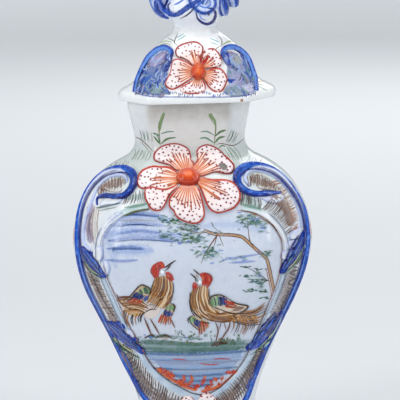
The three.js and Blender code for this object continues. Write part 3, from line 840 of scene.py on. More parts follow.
frameSide = {
    "left": {
        "hand": 1,
        # x, y, width and thickness at each stop
        "scroll": [168, 408, 5, 1.8, 154, 405, 5.5, 2, 143, 394, 6, 2, 133.5, 377, 6, 2.1, 122.5, 356, 6,
            2.2, 111.5, 333, 6, 2.3, 100, 311, 6.2, 2.4, 89, 289, 6.4, 2.5, 82, 267.5, 6.5, 2.6, 79, 248,
            5.8, 2.6, 78.5, 231, 4.8, 2.5, 80.5, 213, 4.2, 2.5, 85.5, 197, 4, 2.5, 94, 183.5, 4.2, 2.7,
            106.5, 173.5, 5, 3.1, 121.5, 170, 6, 3.5, 131.5, 173, 6.4, 3.6, 134, 180.5, 6, 3.5, 131, 189,
            5.6, 3.2, 123.5, 195.5, 5, 2.8, 113, 196.5, 4.5, 2.4, 104, 195.5, 3.6, 2, 97.5, 198.5, 2.4, 1.5,
            97.5, 205.5, 1.6, 1],
        "ridges": [
            [127, 183, 1.6, 1.4, 125.5, 177, 2, 1.8, 118, 175.5, 2.4, 1.8, 109, 178, 2.4, 1.8, 101, 185,
                2.4, 1.8, 95.5, 194, 2.4, 1.7, 91, 206, 2.4, 1.6, 86.5, 219, 2.4, 1.6, 84, 232, 2.6, 1.6,
                85, 243, 2.6, 1.6, 91, 251, 2, 1.2],
            [97, 208, 1.2, 0.8, 95, 222, 1.4, 0.9, 95.5, 236, 1.4, 0.9, 99, 246, 1, 0.6],
            [123, 188.5, 1.4, 1, 119, 191.5, 1.8, 1.2, 111, 190.5, 1.6, 1, 105, 188, 1.2, 0.8],
            [115, 338, 2, 1.2, 122, 346.5, 3, 1.6, 133, 355.5, 2.4, 1.3, 139.5, 358, 1.4, 0.8],
            [83.5, 253, 2, 1.1, 86.5, 264, 2.6, 1.4, 94.5, 273.5, 2.4, 1.3, 102.5, 279.5, 1.6, 0.8],
        ],
        "pads": [
            # tongue, two white lumps, upper leaf, lower leaf, white lump in the lower leaf's notch
            ([123, 199.5, 116, 198, 107, 199, 101, 203, 100.5, 206.5, 107, 205, 116, 204], (123, 201.5),
                1.5, 0.2),
            ([95.5, 249, 99, 245.5, 103, 247.5, 104, 253, 102.5, 259.5, 98, 260, 94.5, 255], (96, 260), 2,
                0.1),
            ([102.5, 262, 106, 260, 109.5, 264, 110.5, 270, 108.5, 274.5, 105, 271.5, 102.5, 267],
                (101, 268), 2, 0.1),
            ([82.5, 246, 84.5, 246.5, 88.5, 250.5, 94, 252, 95.5, 255, 100, 263, 101, 266.5, 105, 270,
                108.5, 274, 106, 278, 99, 275.5, 90.5, 269, 85, 259, 82, 250], (82, 247), 2.7, 0.35),
            ([106.5, 320.5, 113, 321, 119, 320.5, 126.5, 324.5, 126, 330.5, 132, 334.5, 140, 340, 134, 341,
                141.5, 346.5, 145, 350, 144.5, 354, 139.5, 350, 131, 346.5, 121, 339.5, 112.5, 331.5, 107,
                324], (105, 319), 2.7, 0.35),
            ([128.5, 328.5, 132, 330, 135, 334, 134.5, 337, 130.5, 335.5, 127.5, 332], (127, 333), 1.6, 0.1),
        ],
        "cobaltPads": (3, 4), "inkAt": [0.5, 0.6, 0.7, 0.76, 0.81], "inkTo": [1.2, 0.4, 0, 0.3, 1.2],
    },
    "right": {
        "hand": -1,
        "scroll": [227, 409, 5, 1.8, 238, 407, 5.5, 2, 246, 397, 6, 2, 252.5, 379, 6, 2.1, 261, 357, 6, 2.2,
            270, 337.5, 6, 2.3, 281.5, 314.5, 6.2, 2.4, 292.5, 291.5, 6.4, 2.5, 301.5, 268, 6.2, 2.6, 306,
            246, 5.2, 2.6, 306, 229, 4.8, 2.5, 303, 211, 4.4, 2.5, 295.5, 195, 4, 2.5, 285.5, 181.5, 4, 2.7,
            272, 171, 4.8, 3.1, 257, 167, 5.8, 3.5, 244.5, 168.5, 6.6, 3.7, 237.5, 175, 6.4, 3.6, 238.5,
            184, 5.8, 3.2, 246, 191, 5.2, 2.8, 257, 194, 4.8, 2.6, 268, 193.5, 4.2, 2.4, 276, 193, 2.8, 1.8,
            281.5, 192, 1.4, 1],
        "ridges": [
            [250, 186.5, 1.8, 1.4, 245, 179.5, 2.2, 1.6, 247.5, 173, 2.4, 1.8, 256, 171, 2.4, 1.8, 268, 174,
                2.4, 1.8, 279.5, 181.5, 2.4, 1.8, 288.5, 191.5, 2.4, 1.7, 295, 203, 2.4, 1.6, 299.5, 216,
                2.4, 1.6, 301, 228, 2.2, 1.4],
            [252.5, 181.5, 1.4, 1, 253, 176.5, 1.8, 1.2, 258, 174.5, 1.8, 1.2, 266, 177.5, 1.6, 1, 275, 184,
                1.4, 1, 283, 193.5, 1.4, 1, 289, 205, 1.4, 0.9, 293.5, 218, 1.2, 0.8],
            [257, 187, 1.2, 1, 263, 188.5, 2.2, 1.4, 270.5, 189.5, 2.2, 1.3, 277.5, 190.5, 1.2, 0.8],
            [278.5, 323, 2, 1.2, 271, 337.5, 3, 1.6, 260, 348.5, 2.6, 1.4, 250, 356, 1.4, 0.8],
            [304.5, 244, 2, 1.2, 299, 257.5, 3, 1.6, 291, 267, 2.6, 1.4, 284, 273.5, 1.6, 0.8],
        ],
        "pads": [
            ([254, 197, 261, 199, 269, 203, 277, 203, 283, 199, 283, 195.5, 276, 195, 265, 196.5],
                (254, 197), 1.7, 0.2),
            ([289.5, 234, 293.5, 229.5, 298.5, 227, 300, 229, 297, 235, 292, 239.5, 288.5, 238.5],
                (289, 240), 2.2, 0.1),
            ([284.5, 243.5, 288, 241, 294.5, 239, 295.5, 242, 291.5, 246.5, 287, 249.5, 284, 248],
                (286, 250), 2.2, 0.1),
            ([281, 253, 285, 250, 290, 249, 290, 253, 286.5, 257.5, 282, 259, 280, 257], (281, 259), 2, 0.1),
            ([303.5, 230, 299.5, 236, 296, 243, 291.5, 250, 290, 255.5, 284.5, 260.5, 281.5, 264, 280, 268,
                279, 272, 281, 274, 288, 269, 295.5, 260.5, 301.5, 248, 304, 238], (304, 231), 2.7, 0.35),
            ([281, 308, 276, 315.5, 271, 320, 265, 324.5, 263.5, 328.5, 257, 333, 254, 337, 252.5, 341.5,
                246, 346.5, 246.5, 350.5, 256, 347.5, 263.5, 341.5, 272, 332, 280, 319], (282, 308), 2.7,
                0.35),
        ],
        "cobaltPads": (4, 5), "inkAt": [0.5, 0.6, 0.68, 0.75, 0.81], "inkTo": [1.2, 0.4, 0, 0.3, 1.2],
    },
}
pictureBorder = {
    "strip": [149, 206, 135, 208.5, 123, 213, 113, 220, 104.5, 229.5, 100, 240, 99, 252, 100.5, 266, 105,
        280.5, 111.5, 295, 120.5, 315, 129.5, 333.5, 139.5, 352, 151, 369.5, 166, 383, 181, 391.5, 190, 396,
        200, 398, 210, 396.5, 219, 392, 231, 381.5, 241.5, 369.5, 250, 356, 258, 338, 265.5, 319.5, 272,
        303, 278.5, 287, 283, 272, 285, 258, 285, 244, 281.5, 233, 274.5, 223, 266, 215.5, 255.5, 210, 241,
        207],
    "width": 4.4, "thick": 1.4,
    "section": [
        (-1, 0), (-0.93, 0.6), (-0.8, 0.95), (-0.6, 1.0), (-0.35, 0.86), (0, 0.74), (0.35, 0.86), (0.6, 1.0),
        (0.8, 0.95), (0.93, 0.6), (1, 0),
    ],
}


def buildFrameSide(side, node):
    own = frameSide[side]
    parts = [rollParts(vasePot, pairs(own["scroll"], 4), scrollSection, own["hand"])]
    parts += [rollParts(vasePot, pairs(path, 4), ribSection) for path in own["ridges"]]
    for outline, root, thick, cup in own["pads"]:
        parts.append(padParts(vasePot, pairs(outline), root, thick, cup, ribs=0.1))
    obj, points, part, place = joinParts(side + "Frame", parts, reliefTin, "vase", [node])
    paint = blankPaint(len(points))
    grain, drift = softNoise(points, 3.2, 11), softNoise(points, 9, 23)
    band = part == 0
    across, reach = place[:, 0], place[:, 1] / place[band, 1].max()
    # at the shoulder the brush left the inner slope of the scroll white; the pale lavender laid over the
    # whole roll is painted shade, which shows there
    inkEnd = np.interp(reach, own["inkAt"], own["inkTo"])
    layColours(paint, (band * 1.0, "c0caec", 0.6))
    band = band * smooth(inkEnd + 0.14, inkEnd - 0.14, across)
    layColours(
        paint, (band, "0646b0", 0.98),
        (band * smooth(-0.35, -0.85, across) * (0.55 + 0.45 * drift), "042084", 1.0),
        (band * smooth(0.0, 0.35, across) * smooth(0.8, 0.5, across), "2a74da", 0.75),
        (band * smooth(0.62, 0.9, across) * (0.5 + 0.5 * drift), "0438a0", 1.0),
        (band * smooth(0.62, 0.8, grain), "041876", 0.5),
        (band * smooth(0.36, 0.24, grain), "78a4ea", 0.45),
    )
    ridges = np.isin(part, range(1, 1 + len(own["ridges"])))
    layColours(
        paint, (ridges * (part == 1), "b3c2ec", 0.8),
        (ridges * (part != 1) * (part <= 3), "b9a98e", 0.55),
        (ridges * (part >= 4), "8fb5a4", 0.75),
        (ridges * (part >= 4) * smooth(0.45, 0.7, grain), "d5e2b4", 0.5),
    )
    firstPad = 1 + len(own["ridges"])
    for i in range(len(own["pads"])):
        here = (part == firstPad + i).astype(float)
        if i in own["cobaltPads"]:
            layColours(
                paint, (here, "043caa", 0.98),
                (here * smooth(0.55, 0.85, grain), "041a76", 0.7),
                (here * smooth(0.9, 0.98, across), "041a76", 0.6),
                (here * smooth(0.5, 0.3, drift) * smooth(0.8, 0.4, across), "3a7ce0", 0.7),
            )
        else:
            layColours(
                paint, (here * smooth(0.75, 0.98, across), "8ea6dc", 0.6),
                (here * smooth(0.4, 0.75, drift), "b7bfe6", 0.5),
            )
    storePaint(obj.data, paint)
    return obj


def buildBorder():
    own = pictureBorder
    stops = [(x, y, own["width"], own["thick"]) for x, y in pairs(own["strip"])]
    parts = [rollParts(vasePot, stops, own["section"])]
    obj, points = joinParts("pictureStrip", parts, reliefTin, "vase", ["picture_border"])[:2]
    paint = blankPaint(len(points))
    drift = softNoise(points, 8, 4)
    height = points[:, 2]
    layColours(
        paint, (smooth(165, 135, height), "b3c7d9", 0.75),
        (smooth(150, 60, height) * smooth(0.45, 0.7, drift), "93abc8", 0.5),
        (smooth(178, 186, height), "9fc0bd", 0.7),
    )
    storePaint(obj.data, paint)
    return obj


leftFrame = buildFrameSide("left", "left_scroll")
rightFrame = buildFrameSide("right", "right_scroll")
pictureStrip = buildBorder()


# Flowers: each petal is its own pad of clay, drawn by its outline, round a button

flowers = {
    "upper": {
        "pot": vasePot, "body": "vase", "node": "upper_flower", "heart": (189, 178),
        "petals": [
            # thickness, outline
            (3, [153.5, 160, 153.5, 154, 156.5, 149.5, 162, 145.5, 169, 143.5, 176, 143, 183, 145, 188.5,
                148.5, 191, 154, 192, 160, 194.5, 164, 191.5, 171, 184, 172.5, 176, 170.5, 169, 165.5, 160,
                163]),
            (3.3, [195, 163, 197, 159, 196, 154, 196.5, 150, 200, 146, 207, 144, 214, 146, 221, 150.5, 225,
                155, 230.5, 160, 235, 166, 234, 171, 231, 174, 224, 174, 216, 172.5, 207, 175, 200, 177,
                193.5, 174, 192, 168]),
            (2.7, [176.5, 171.5, 169, 167, 161, 166.5, 153, 166, 147, 167.5, 141, 171, 137.5, 177, 136.5,
                183, 139.5, 188, 145, 189, 152, 187.5, 160, 189.5, 168, 189.5, 177, 185, 180.5, 177]),
            (2.5, [144.5, 190, 144.5, 196, 146, 201, 150, 208, 155, 211, 161.5, 210, 166, 203, 169, 196,
                173.5, 190.5, 178, 186, 172, 183, 163, 184, 153, 186.5, 147, 187.5]),
            (3.1, [172.5, 193.5, 169.5, 198, 168.5, 204, 170, 208, 173.5, 211, 175, 215, 179, 219, 185, 222,
                193, 224, 199.5, 223, 204, 218, 205, 212, 201.5, 195, 197.5, 187, 190, 183.5, 180.5, 185.5]),
            (3.4, [203, 177.5, 208, 179, 215, 179.5, 224, 179.5, 232, 181.5, 238, 186.5, 241, 194, 240, 201,
                235, 207.5, 227, 211.5, 218, 213.5, 211, 210.5, 206.5, 204, 203.5, 196, 200, 188, 196.5,
                181.5]),
        ],
        "button": (188.2, 178.4, 8.0, 6.4, 0.86),
    },
    "lower": {
        "pot": vasePot, "body": "vase", "node": "lower_flower", "heart": (199, 422),
        "petals": [
            (2.8, [192, 396.5, 196, 402, 198.5, 410, 199, 420, 190, 417, 183, 411, 180, 404, 182, 397.5,
                187, 394.5]),
            (3, [200, 395.5, 206, 392, 213, 394.5, 217, 400, 215.5, 408, 209, 415.5, 200, 420, 197.5, 411,
                197, 402]),
            (2.6, [217, 408.5, 224, 411, 227, 418, 225.5, 427, 219, 432.5, 210, 430, 201, 424, 205, 416.5,
                211, 411]),
            (2.7, [224, 433.5, 221, 441, 213, 446, 205.5, 443.5, 201, 436, 199, 424, 207, 427, 216, 431.5]),
            (2.9, [199.5, 443.5, 193, 447.5, 184.5, 445, 180.5, 438, 182, 431.5, 190, 427, 199, 424, 200,
                434]),
            (2.5, [178, 431, 172.5, 427, 170.5, 418, 174, 411.5, 180, 409.5, 188, 414.5, 197, 422, 189,
                427.5]),
        ],
        "button": (199, 422, 6.2, 5.6, 0.95),
    },
    "lid": {
        "pot": lidPot, "body": "lid", "node": "lid_flower", "heart": (198.2, 71.6),
        "petals": [
            (2.5, [177, 57, 175, 52, 176.5, 47.5, 180, 45, 187, 42.5, 195, 41.5, 200, 43.5, 203.5, 47, 203,
                52, 201.5, 58, 199.5, 65, 193, 65.5, 189, 62, 183, 58.5]),
            (2.7, [204, 51, 210, 48.5, 215, 49, 219.5, 54, 222, 60, 221, 65.5, 214, 68, 206, 68.5, 200, 67,
                201, 60]),
            (2.3, [189, 63, 183, 60, 177, 58.5, 172.5, 60.5, 171, 66, 169.5, 73, 165.5, 81, 165.5, 86, 170,
                89.5, 175.5, 89, 190.5, 79.5, 195.5, 73, 194, 67]),
            (2.1, [181.5, 87, 180, 91, 186, 93.5, 197, 94, 204, 92, 206, 88, 204, 82, 199, 76.5, 193.5, 79,
                187.5, 83.5]),
            (2.6, [206, 70.5, 212, 69, 219, 68, 223.5, 71, 227.5, 78, 225.5, 86, 221, 92, 214, 91.5, 209,
                87.5, 205.5, 82, 201, 75, 200, 71.5]),
        ],
        "button": (198.4, 71.9, 4.9, 4.6, 1.25),
    },
}


def buildFlower(name, own):
    pot, body, node = own["pot"], own["body"], own["node"]
    parts = []
    for thick, outline in own["petals"]:
        parts.append(padParts(pot, pairs(outline), own["heart"], thick, 0.42, ribs=0.04))
    parts.append(buttonParts(pot, *own["button"]))
    obj, points, part, place = joinParts(name + "Flower", parts, reliefTin, body, [node])
    paint = blankPaint(len(points))
    grain = softNoise(points, 2.2, 31)
    petal = (part < len(own["petals"])).astype(float)
    across, near = place[:, 0], place[:, 1]
    # pale pink petals, orange towards the heart, and a reddish rim along every edge that is painted shade of
    # overlapping petals
    layColours(
        paint, (petal, "f4e2e0", 0.75),
        (petal * smooth(0.75, 0.3, near), "f6b98c", 0.42),
        (petal * smooth(0.42, 0.2, near), "d8582c", 0.6),
        (petal * smooth(0.93, 0.985, across) * (0.4 + 0.6 * grain), "d27a66", 0.6),
    )
    button = 1 - petal
    # the button's red, darker on one side as painted shade, paler in the middle and dark at its ring
    layColours(
        paint, (button, "cf4a22", 0.97),
        (button * smooth(0.2, 0.75, place[:, 1]) * smooth(0.5, 0.8, across), "a32a18", 0.7),
        (button * smooth(0.5, 0.2, across), "ea7430", 0.7),
        (button * smooth(0.82, 0.98, across), "8e2216", 0.5),
    )
    storePaint(obj.data, paint)
    return obj


upperFlower = buildFlower("upper", flowers["upper"])
lowerFlower = buildFlower("lower", flowers["lower"])
lidFlower = buildFlower("lid", flowers["lid"])


# The lid's own scrolls, at both sides of its flower

lidScrolls = {
    "lidLeft": {"node": "lid_left_scroll", "hand": 1,
        "path": [134.5, 92, 3.2, 1.4, 137.5, 81, 4.2, 2, 142.5, 69.5, 4.4, 2.2, 149, 58, 4.4, 2.4, 157.5,
        50.5, 4.4, 2.4, 165.5, 48, 4.2, 2.4, 171, 51.5, 3.8, 2.2, 170, 57.5, 3.4, 1.8, 166.5, 64.5, 3, 1.6,
        163.5, 71.5, 2, 1.2]},
    "lidRight": {"node": "lid_right_scroll", "hand": -1,
        "path": [256.5, 90.5, 3.2, 1.4, 255, 80, 4.2, 2, 251.5, 69.5, 4.4, 2.2, 247, 58.5, 4.4, 2.4, 240,
        51, 4.4, 2.4, 231.5, 47.5, 4.2, 2.4, 224.5, 49, 3.8, 2.2, 223, 55, 3.4, 1.8, 228, 62.5, 3, 1.8,
        236.5, 69.5, 2, 1.2]},
}


def buildLidScroll(name, own):
    parts = [rollParts(lidPot, pairs(own["path"], 4), scrollSection, own["hand"])]
    obj, points, _, place = joinParts(name + "Scroll", parts, reliefTin, "lid", [own["node"]])
    paint = blankPaint(len(points))
    across, grain = place[:, 0], softNoise(points, 2.6, 8)
    layColours(
        paint, (np.ones(len(points)), "0846ae", 0.97),
        (smooth(-0.3, -0.8, across), "042286", 0.9),
        (smooth(-0.15, 0.2, across), "6898e4", 0.8),
        (smooth(0.6, 0.8, grain), "082482", 0.5),
    )
    storePaint(obj.data, paint)
    return obj


lidLeftScroll = buildLidScroll("lidLeft", lidScrolls["lidLeft"])
lidRightScroll = buildLidScroll("lidRight", lidScrolls["lidRight"])
print("relief ready")


# The scroll knop: curls swept along their paths by one tree, fused with its core into one skin

knop = {
    "coreSides": 72, "base": 303.4, "middle": 6.0,
    "core": [
        [15.3, -2.4], [15.7, 0], [15.6, 1.2], [16.6, 2.8], [19.4, 6], [21.8, 9.5], [22.2, 14], [20.2, 20],
        [17.6, 27], [14.2, 35], [9.6, 41], [4.2, 44.5],
    ],
    "crispness": 9, "cell": 0.62, "smoothing": 7,
    # curls as [across, depth, height, half width, half depth]
    "curls": [
        [[8, 0, 40, 4.5, 8], [3, 0, 25, 5.4, 10], [-6, 0, 13.5, 5.2, 11], [-15.5, 0, 8.4, 5, 11],
         [-24, 0, 12.6, 5, 10.5], [-27.4, 0, 23, 4.8, 10], [-22.6, 0, 30.5, 4.4, 9.5],
         [-15, 0, 30.5, 4, 9], [-11.5, 0, 24.5, 3.4, 8.5], [-15.5, 0, 19.5, 3, 8], [-20, 0, 22, 2.4, 7.5]],
        # one curl on the front and its mirror image at the back
        *([[x, side * y, z, half, deep] for x, y, z, half, deep in (
            (-1, 9, 33, 2.8, 3.6), (-2.6, 12.5, 23, 3.2, 3.8), (0.8, 14.5, 15, 3.2, 3.8),
            (7, 15, 11.6, 3.1, 3.6), (12.4, 15, 14.8, 2.8, 3.4), (12.4, 14.8, 19.4, 2.5, 3.2),
            (8.4, 14.6, 21, 2.3, 3), (6.6, 14.4, 18, 2, 2.8),
        )] for side in (-1, 1)),
        [[6, 0, 34, 4.6, 9], [14.5, 0, 24, 5, 11], [19, 0, 13.2, 4.8, 11.5], [20.2, 0, 6.6, 3, 9]],
        [[6, 0, 38, 4.6, 9], [17.5, 0, 33, 5.2, 10], [25.6, 0, 21.6, 5, 10], [27.6, 0, 12.6, 2.8, 8]],
        [[3, 0, 38, 5, 8], [14, 0, 44.5, 5.4, 9], [26.5, 0, 43, 5.4, 9.5], [34.2, 0, 35, 5, 9],
         [36, 0, 27.4, 4, 8.5], [32.6, 0, 23.6, 3.2, 8], [29.6, 0, 27, 2.4, 7]],
        [[3, 0, 34, 7, 9], [-4, 0, 43.5, 6, 8], [-5.4, 0, 51.6, 4.8, 6.5], [0, 0, 56.6, 3.6, 5],
         [5, 0, 54, 2.4, 4]],
        [[-3, 0, 33, 5, 8], [-10, 0, 39, 4.4, 7], [-16.5, 0, 43.4, 3.2, 5.5], [-20.4, 0, 40.6, 2, 4.4]],
        [[-23, 0, 21.5, 9, 6], [-15, 0, 21.5, 9.5, 6.5]],
        [[14, 0, 30, 11, 6], [26, 0, 30, 11, 6]],
    ],
}


def readValue(tree, name):
    return wire(tree, "InputNamedAttribute", {"Name": name}, "Attribute", data_type="FLOAT")


def smoothCurves(tree, inputs):
    # the mesh's edges as curves through their points
    lines = wire(tree, "MeshToCurve", inputs)
    return wire(tree, "CurveSplineType", {"Curve": lines}, spline_type="CATMULL_ROM")


def keepValues(tree, geometry, values):
    # the geometry, then each value as it is here, for use after the shape changes
    kept = addNode(tree, "CaptureAttribute", {"Geometry": geometry}, domain="POINT")
    for name, value in values.items():
        kept.capture_items.new("VECTOR" if value.socket.type == "VECTOR" else "FLOAT", name)
        plug(value, kept.inputs[name])
    return [Wire(kept.outputs[name]) for name in ("Geometry", *values)]


def sweepTree():
    # sweeps an oval along each edge path, sized by the point attributes half and deep
    tree, given, made = newTree("sweptCurls", "GeometryNodeTree", {
        "Geometry": "Geometry", "Spacing": 0.001, "Sides": 20, "Material": "Material",
    }, {"Geometry": "Geometry"})
    half, deep = readValue(tree, "half"), readValue(tree, "deep")
    bent = smoothCurves(tree, {"Mesh": given["Geometry"]})
    even = wire(tree, "ResampleCurve", {"Curve": bent, "Length": given["Spacing"]}, mode="LENGTH")
    spot = wire(tree, "InputPosition")
    curve, centre, depth = keepValues(tree, even, {"Centre": spot, "Depth": deep / half})
    circle = wire(tree, "CurvePrimitiveCircle", {"Resolution": given["Sides"], "Radius": 1.0})
    swept = {"Curve": curve, "Profile Curve": circle, "Scale": half, "Fill Caps": True}
    outward = parts(vectorCalc("SUBTRACT", spot, centre))[1]
    shift = wire(tree, "CombineXYZ", {1: outward * (depth - 1.0)})
    moved = wire(tree, "SetPosition", {"Geometry": wire(tree, "CurveToMesh", swept), "Offset": shift})
    return endTree(tree, moved, given["Material"], made)


sweptCurls = sweepTree()


def knopStops(path):
    stops = np.asarray(path, float)
    return stops[:, :3] + [knop["middle"], 0, knop["base"]], stops[:, 3], stops[:, 4]


def buildKnop():
    points, edges, halves, deeps = [], [], [], []
    for path in knop["curls"]:
        places, half, deep = knopStops(path)
        start = len(points)
        points += list(places)
        edges += [(start + i, start + i + 1) for i in range(len(places) - 1)]
        halves += list(half)
        deeps += list(deep)
    mesh = meshFrom("knopCurls", np.array(points) * mm, edges=edges, smooth=False)
    storeValue(mesh, "half", np.array(halves) * mm)
    storeValue(mesh, "deep", np.array(deeps) * mm)
    obj = addObject("knopSkin", mesh)
    runTree(obj, sweptCurls, {"Spacing": 0.0011, "Sides": 22, "Material": reliefTin})
    # the core, as a pile of rounded octagons
    sides = knop["coreSides"]
    angles = np.arange(sides) / sides * 2 * math.pi
    rings = []
    for half, rise in catmull(knop["core"], 4):
        ring = np.stack([np.cos(angles), np.sin(angles)], 1)
        ring *= (half / planSize(ring[:, 0], ring[:, 1], knop["crispness"]))[:, None]
        rings.append(np.column_stack([ring + (knop["middle"], 0), np.full(sides, knop["base"] + rise)]))
    corePoints, coreFaces = closeStrip(np.stack(rings))
    form = bmesh.new()
    form.from_mesh(obj.data)
    form.from_mesh(meshFrom("knopCore", corePoints * mm, coreFaces))
    bmesh.ops.recalc_face_normals(form, faces=form.faces)
    form.to_mesh(obj.data)
    form.free()
    # one skin over all of it, then rounded by smoothing
    skin = obj.modifiers.new("skin", "REMESH")
    skin.mode, skin.voxel_size, skin.use_smooth_shade = "VOXEL", knop["cell"] * mm, True
    soften = obj.modifiers.new("soften", "SMOOTH")
    soften.factor, soften.iterations = 0.5, knop["smoothing"]
    whole = bpy.data.meshes.new_from_object(obj.evaluated_get(bpy.context.evaluated_depsgraph_get()))
    obj.modifiers.clear()
    obj.data = whole
    whole.name = "knopSkin"
    whole.materials.clear()
    whole.materials.append(reliefTin)
    whole.shade_smooth()
    return obj


def paintKnop(obj):
    # cobalt along the outer flank of each curl, paler inside it, by the nearest curl
    points = pointsOf(obj.data) / mm
    best = np.full(len(points), 9.0)
    across, number, along = np.zeros(len(points)), np.zeros(len(points), int), np.zeros(len(points))
    for i, path in enumerate(knop["curls"][:8]):
        places, half, deep = knopStops(path)
        line = catmull(np.column_stack([places, half, deep]), 8)
        away = points[:, None, :] - line[None, :, :3]
        x, y, z = np.moveaxis(away, 2, 0)
        gap = np.sqrt((x ** 2 + z ** 2) / line[:, 3] ** 2 + (y / line[:, 4]) ** 2)
        k = gap.argmin(1)
        rows = np.arange(len(points))
        gap = gap[rows, k]
        heading = np.gradient(line[:, :3], axis=0)[k]
        heading /= np.linalg.norm(heading, axis=1, keepdims=True) + 1e-9
        off = away[rows, k]
        side = (off[:, 0] * heading[:, 2] - off[:, 2] * heading[:, 0]) / line[k, 3]
        closer = gap < best
        best = np.where(closer, gap, best)
        across, number = np.where(closer, side, across), np.where(closer, i, number)
        along = np.where(closer, k / len(line), along)
    grain, drift = softNoise(points, 1.8, 3), softNoise(points, 5, 9)
    paint = blankPaint(len(points), "c9d4ea")
    low = smooth(knop["base"] + 5, knop["base"] + 10, points[:, 2])
    onCurl = low * smooth(1.5, 1.15, best)
    outer = np.where(number == 0, across, np.where(np.isin(number, (1, 2)), across, -across))
    layColours(
        paint, (onCurl, "a4bce8", 0.6),
        (onCurl * smooth(-0.1, 0.15, outer) * smooth(0.95, 0.7, outer), "0e48ae", 0.92),
        (onCurl * smooth(0.25, 0.45, outer) * smooth(0.8, 0.6, outer) * drift, "061c86", 0.85),
        (onCurl * smooth(-0.55, -0.7, outer) * smooth(-0.98, -0.85, outer), "2868c8", 0.85),
        (onCurl * smooth(0.62, 0.78, grain), "1244a6", 0.35),
    )
    storePaint(obj.data, paint)


knopSkin = buildKnop()
paintKnop(knopSkin)
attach(knopSkin, "lid")
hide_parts("finial")
print("knop ready:", len(knopSkin.data.vertices), "points")


# Brushwork: strokes and fills drawn flat on an easel, then cast along the lines of sight onto a piece

inks = {
    "deep": "04187a", "cobalt": "0440a6", "blue": "3068c0", "sky": "5a86de", "paleBlue": "93b4f0",
    "water": "5580b4", "dark": "1a151a", "brown": "6b3a18", "gold": "a9702a", "ochre": "b88c4a",
    "umber": "3a2214", "olive": "6c7034", "moss": "557a4a", "green": "2f5c4a", "leaf": "5f9078",
    "bank": "5f8a7c", "orange": "d8682a", "red": "b82a12", "white": "eef0f2", "hatch": "7a5a48",
    "grey": "77757a",
}


def strokeTree():
    tree, given, made = newTree("brushStrokes", "GeometryNodeTree", {
        "Geometry": "Geometry", "Target": "Object", "Eye": "Vector", "Origin": "Vector", "Right": "Vector",
        "Up": "Vector", "Spacing": 0.0007, "Columns": 4, "Lift": 0.00003, "Material": "Material",
    }, {"Geometry": "Geometry"})
    flat, halfWidth, spot = readValue(tree, "flat"), readValue(tree, "halfWidth"), wire(tree, "InputPosition")
    bent = smoothCurves(tree, {"Mesh": given["Geometry"], "Selection": 1.0 - flat})
    level = wire(tree, "SetCurveNormal", {"Curve": bent}, mode="Z_UP")
    even = wire(tree, "ResampleCurve", {"Curve": level, "Length": given["Spacing"]}, mode="LENGTH")
    curve, centre = keepValues(tree, even, {"Centre": spot})
    bristle = wire(tree, "CurvePrimitiveLine", {"Start": (-1, 0, 0), "End": (1, 0, 0)})
    bristles = wire(tree, "ResampleCurve", {"Curve": bristle, "Count": given["Columns"] + 1.0}, mode="COUNT")
    ribbon = wire(tree, "CurveToMesh", {"Curve": curve, "Profile Curve": bristles, "Scale": halfWidth})
    away = vectorCalc("DISTANCE", spot, centre, out="Value") / calc("MAXIMUM", halfWidth, 1e-6)
    edged = {"Geometry": ribbon, "Name": "edge", "Value": away}
    edged = wire(tree, "StoreNamedAttribute", edged, data_type="FLOAT", domain="POINT")
    joined = addNode(tree, "JoinGeometry")
    fills = wire(tree, "SeparateGeometry", {"Geometry": given["Geometry"], "Selection": flat})
    for geometry in (edged, fills):
        plug(geometry, joined.inputs[0])
    # each point looks along its line of sight for the target
    x, y = parts(spot)[:2]
    across, up = vectorCalc("SCALE", given["Right"], scale=x), vectorCalc("SCALE", given["Up"], scale=y)
    onEasel = vectorCalc("ADD", given["Origin"], vectorCalc("ADD", across, up))
    sight = vectorCalc("NORMALIZE", vectorCalc("SUBTRACT", onEasel, given["Eye"]))
    wall = wire(tree, "ObjectInfo", {"Object": given["Target"]}, "Geometry")
    cast = addNode(tree, "Raycast", {
        "Target Geometry": wall, "Source Position": given["Eye"], "Ray Direction": sight, "Ray Length": 8.0,
    }).outputs
    isHit, place, normal = (Wire(cast[name]) for name in ("Is Hit", "Hit Position", "Hit Normal"))
    facing = vectorCalc("DOT_PRODUCT", sight, normal, out="Value") * -1.0
    hit = isHit * calc("GREATER_THAN", facing, 0.1)
    swell = (1.0 - readValue(tree, "edge") ** 2.0) * 0.00004
    rise = given["Lift"] + readValue(tree, "lift") + swell
    landed = vectorCalc("ADD", place, vectorCalc("SCALE", normal, scale=rise))
    told, landed, missed = keepValues(tree, Wire(joined.outputs[0]), {"Landed": landed, "Missed": 1.0 - hit})
    laid = wire(tree, "SetPosition", {"Geometry": told, "Position": landed})
    trimmed = {"Geometry": laid, "Selection": calc("GREATER_THAN", missed, 0.5)}
    trimmed = wire(tree, "DeleteGeometry", trimmed, domain="POINT")
    return endTree(tree, wire(tree, "SetShadeSmooth", {"Geometry": trimmed}), given["Material"], made)


brushStrokes = strokeTree()

# an easel turns drawn units into mm: the photo's own pixels, or mm on a plane facing one side of the pot
easels = {"photo": {
    "eye": photoEye, "origin": photoAim, "right": photoRight, "up": photoUp,
    "unit": photoView["pixel"], "middle": photoView["middle"],
}}
sideEasels = {
    "distance": 2600, "height": 170,
    "turns": {"back": 90, "leftSide": 180, "rightSide": 0, "backLeft": 125, "backRight": 55},
}
upward = np.array([0, 0, 1.0])
for sideName, turn in sideEasels["turns"].items():
    out = np.array([math.cos(math.radians(turn)), math.sin(math.radians(turn)), 0])
    easels[sideName] = {
        "eye": out * sideEasels["distance"] + upward * sideEasels["height"], "origin": np.zeros(3),
        "right": np.cross(upward, out), "up": upward, "unit": 1.0, "middle": 0.0,
    }


brush = {
    # how much higher each later stroke lies, in metres, and the least share of its width
    "layer": 1.2e-6, "thinnest": 0.12,
    # a fill's columns for each unit of its size, and the gap between its rings in mm
    "fillColumns": 2.2, "fillGap": 1.6,
}


def inkTint(ink):
    # an ink by its name, or by its own code
    return tint(inks.get(ink, ink))


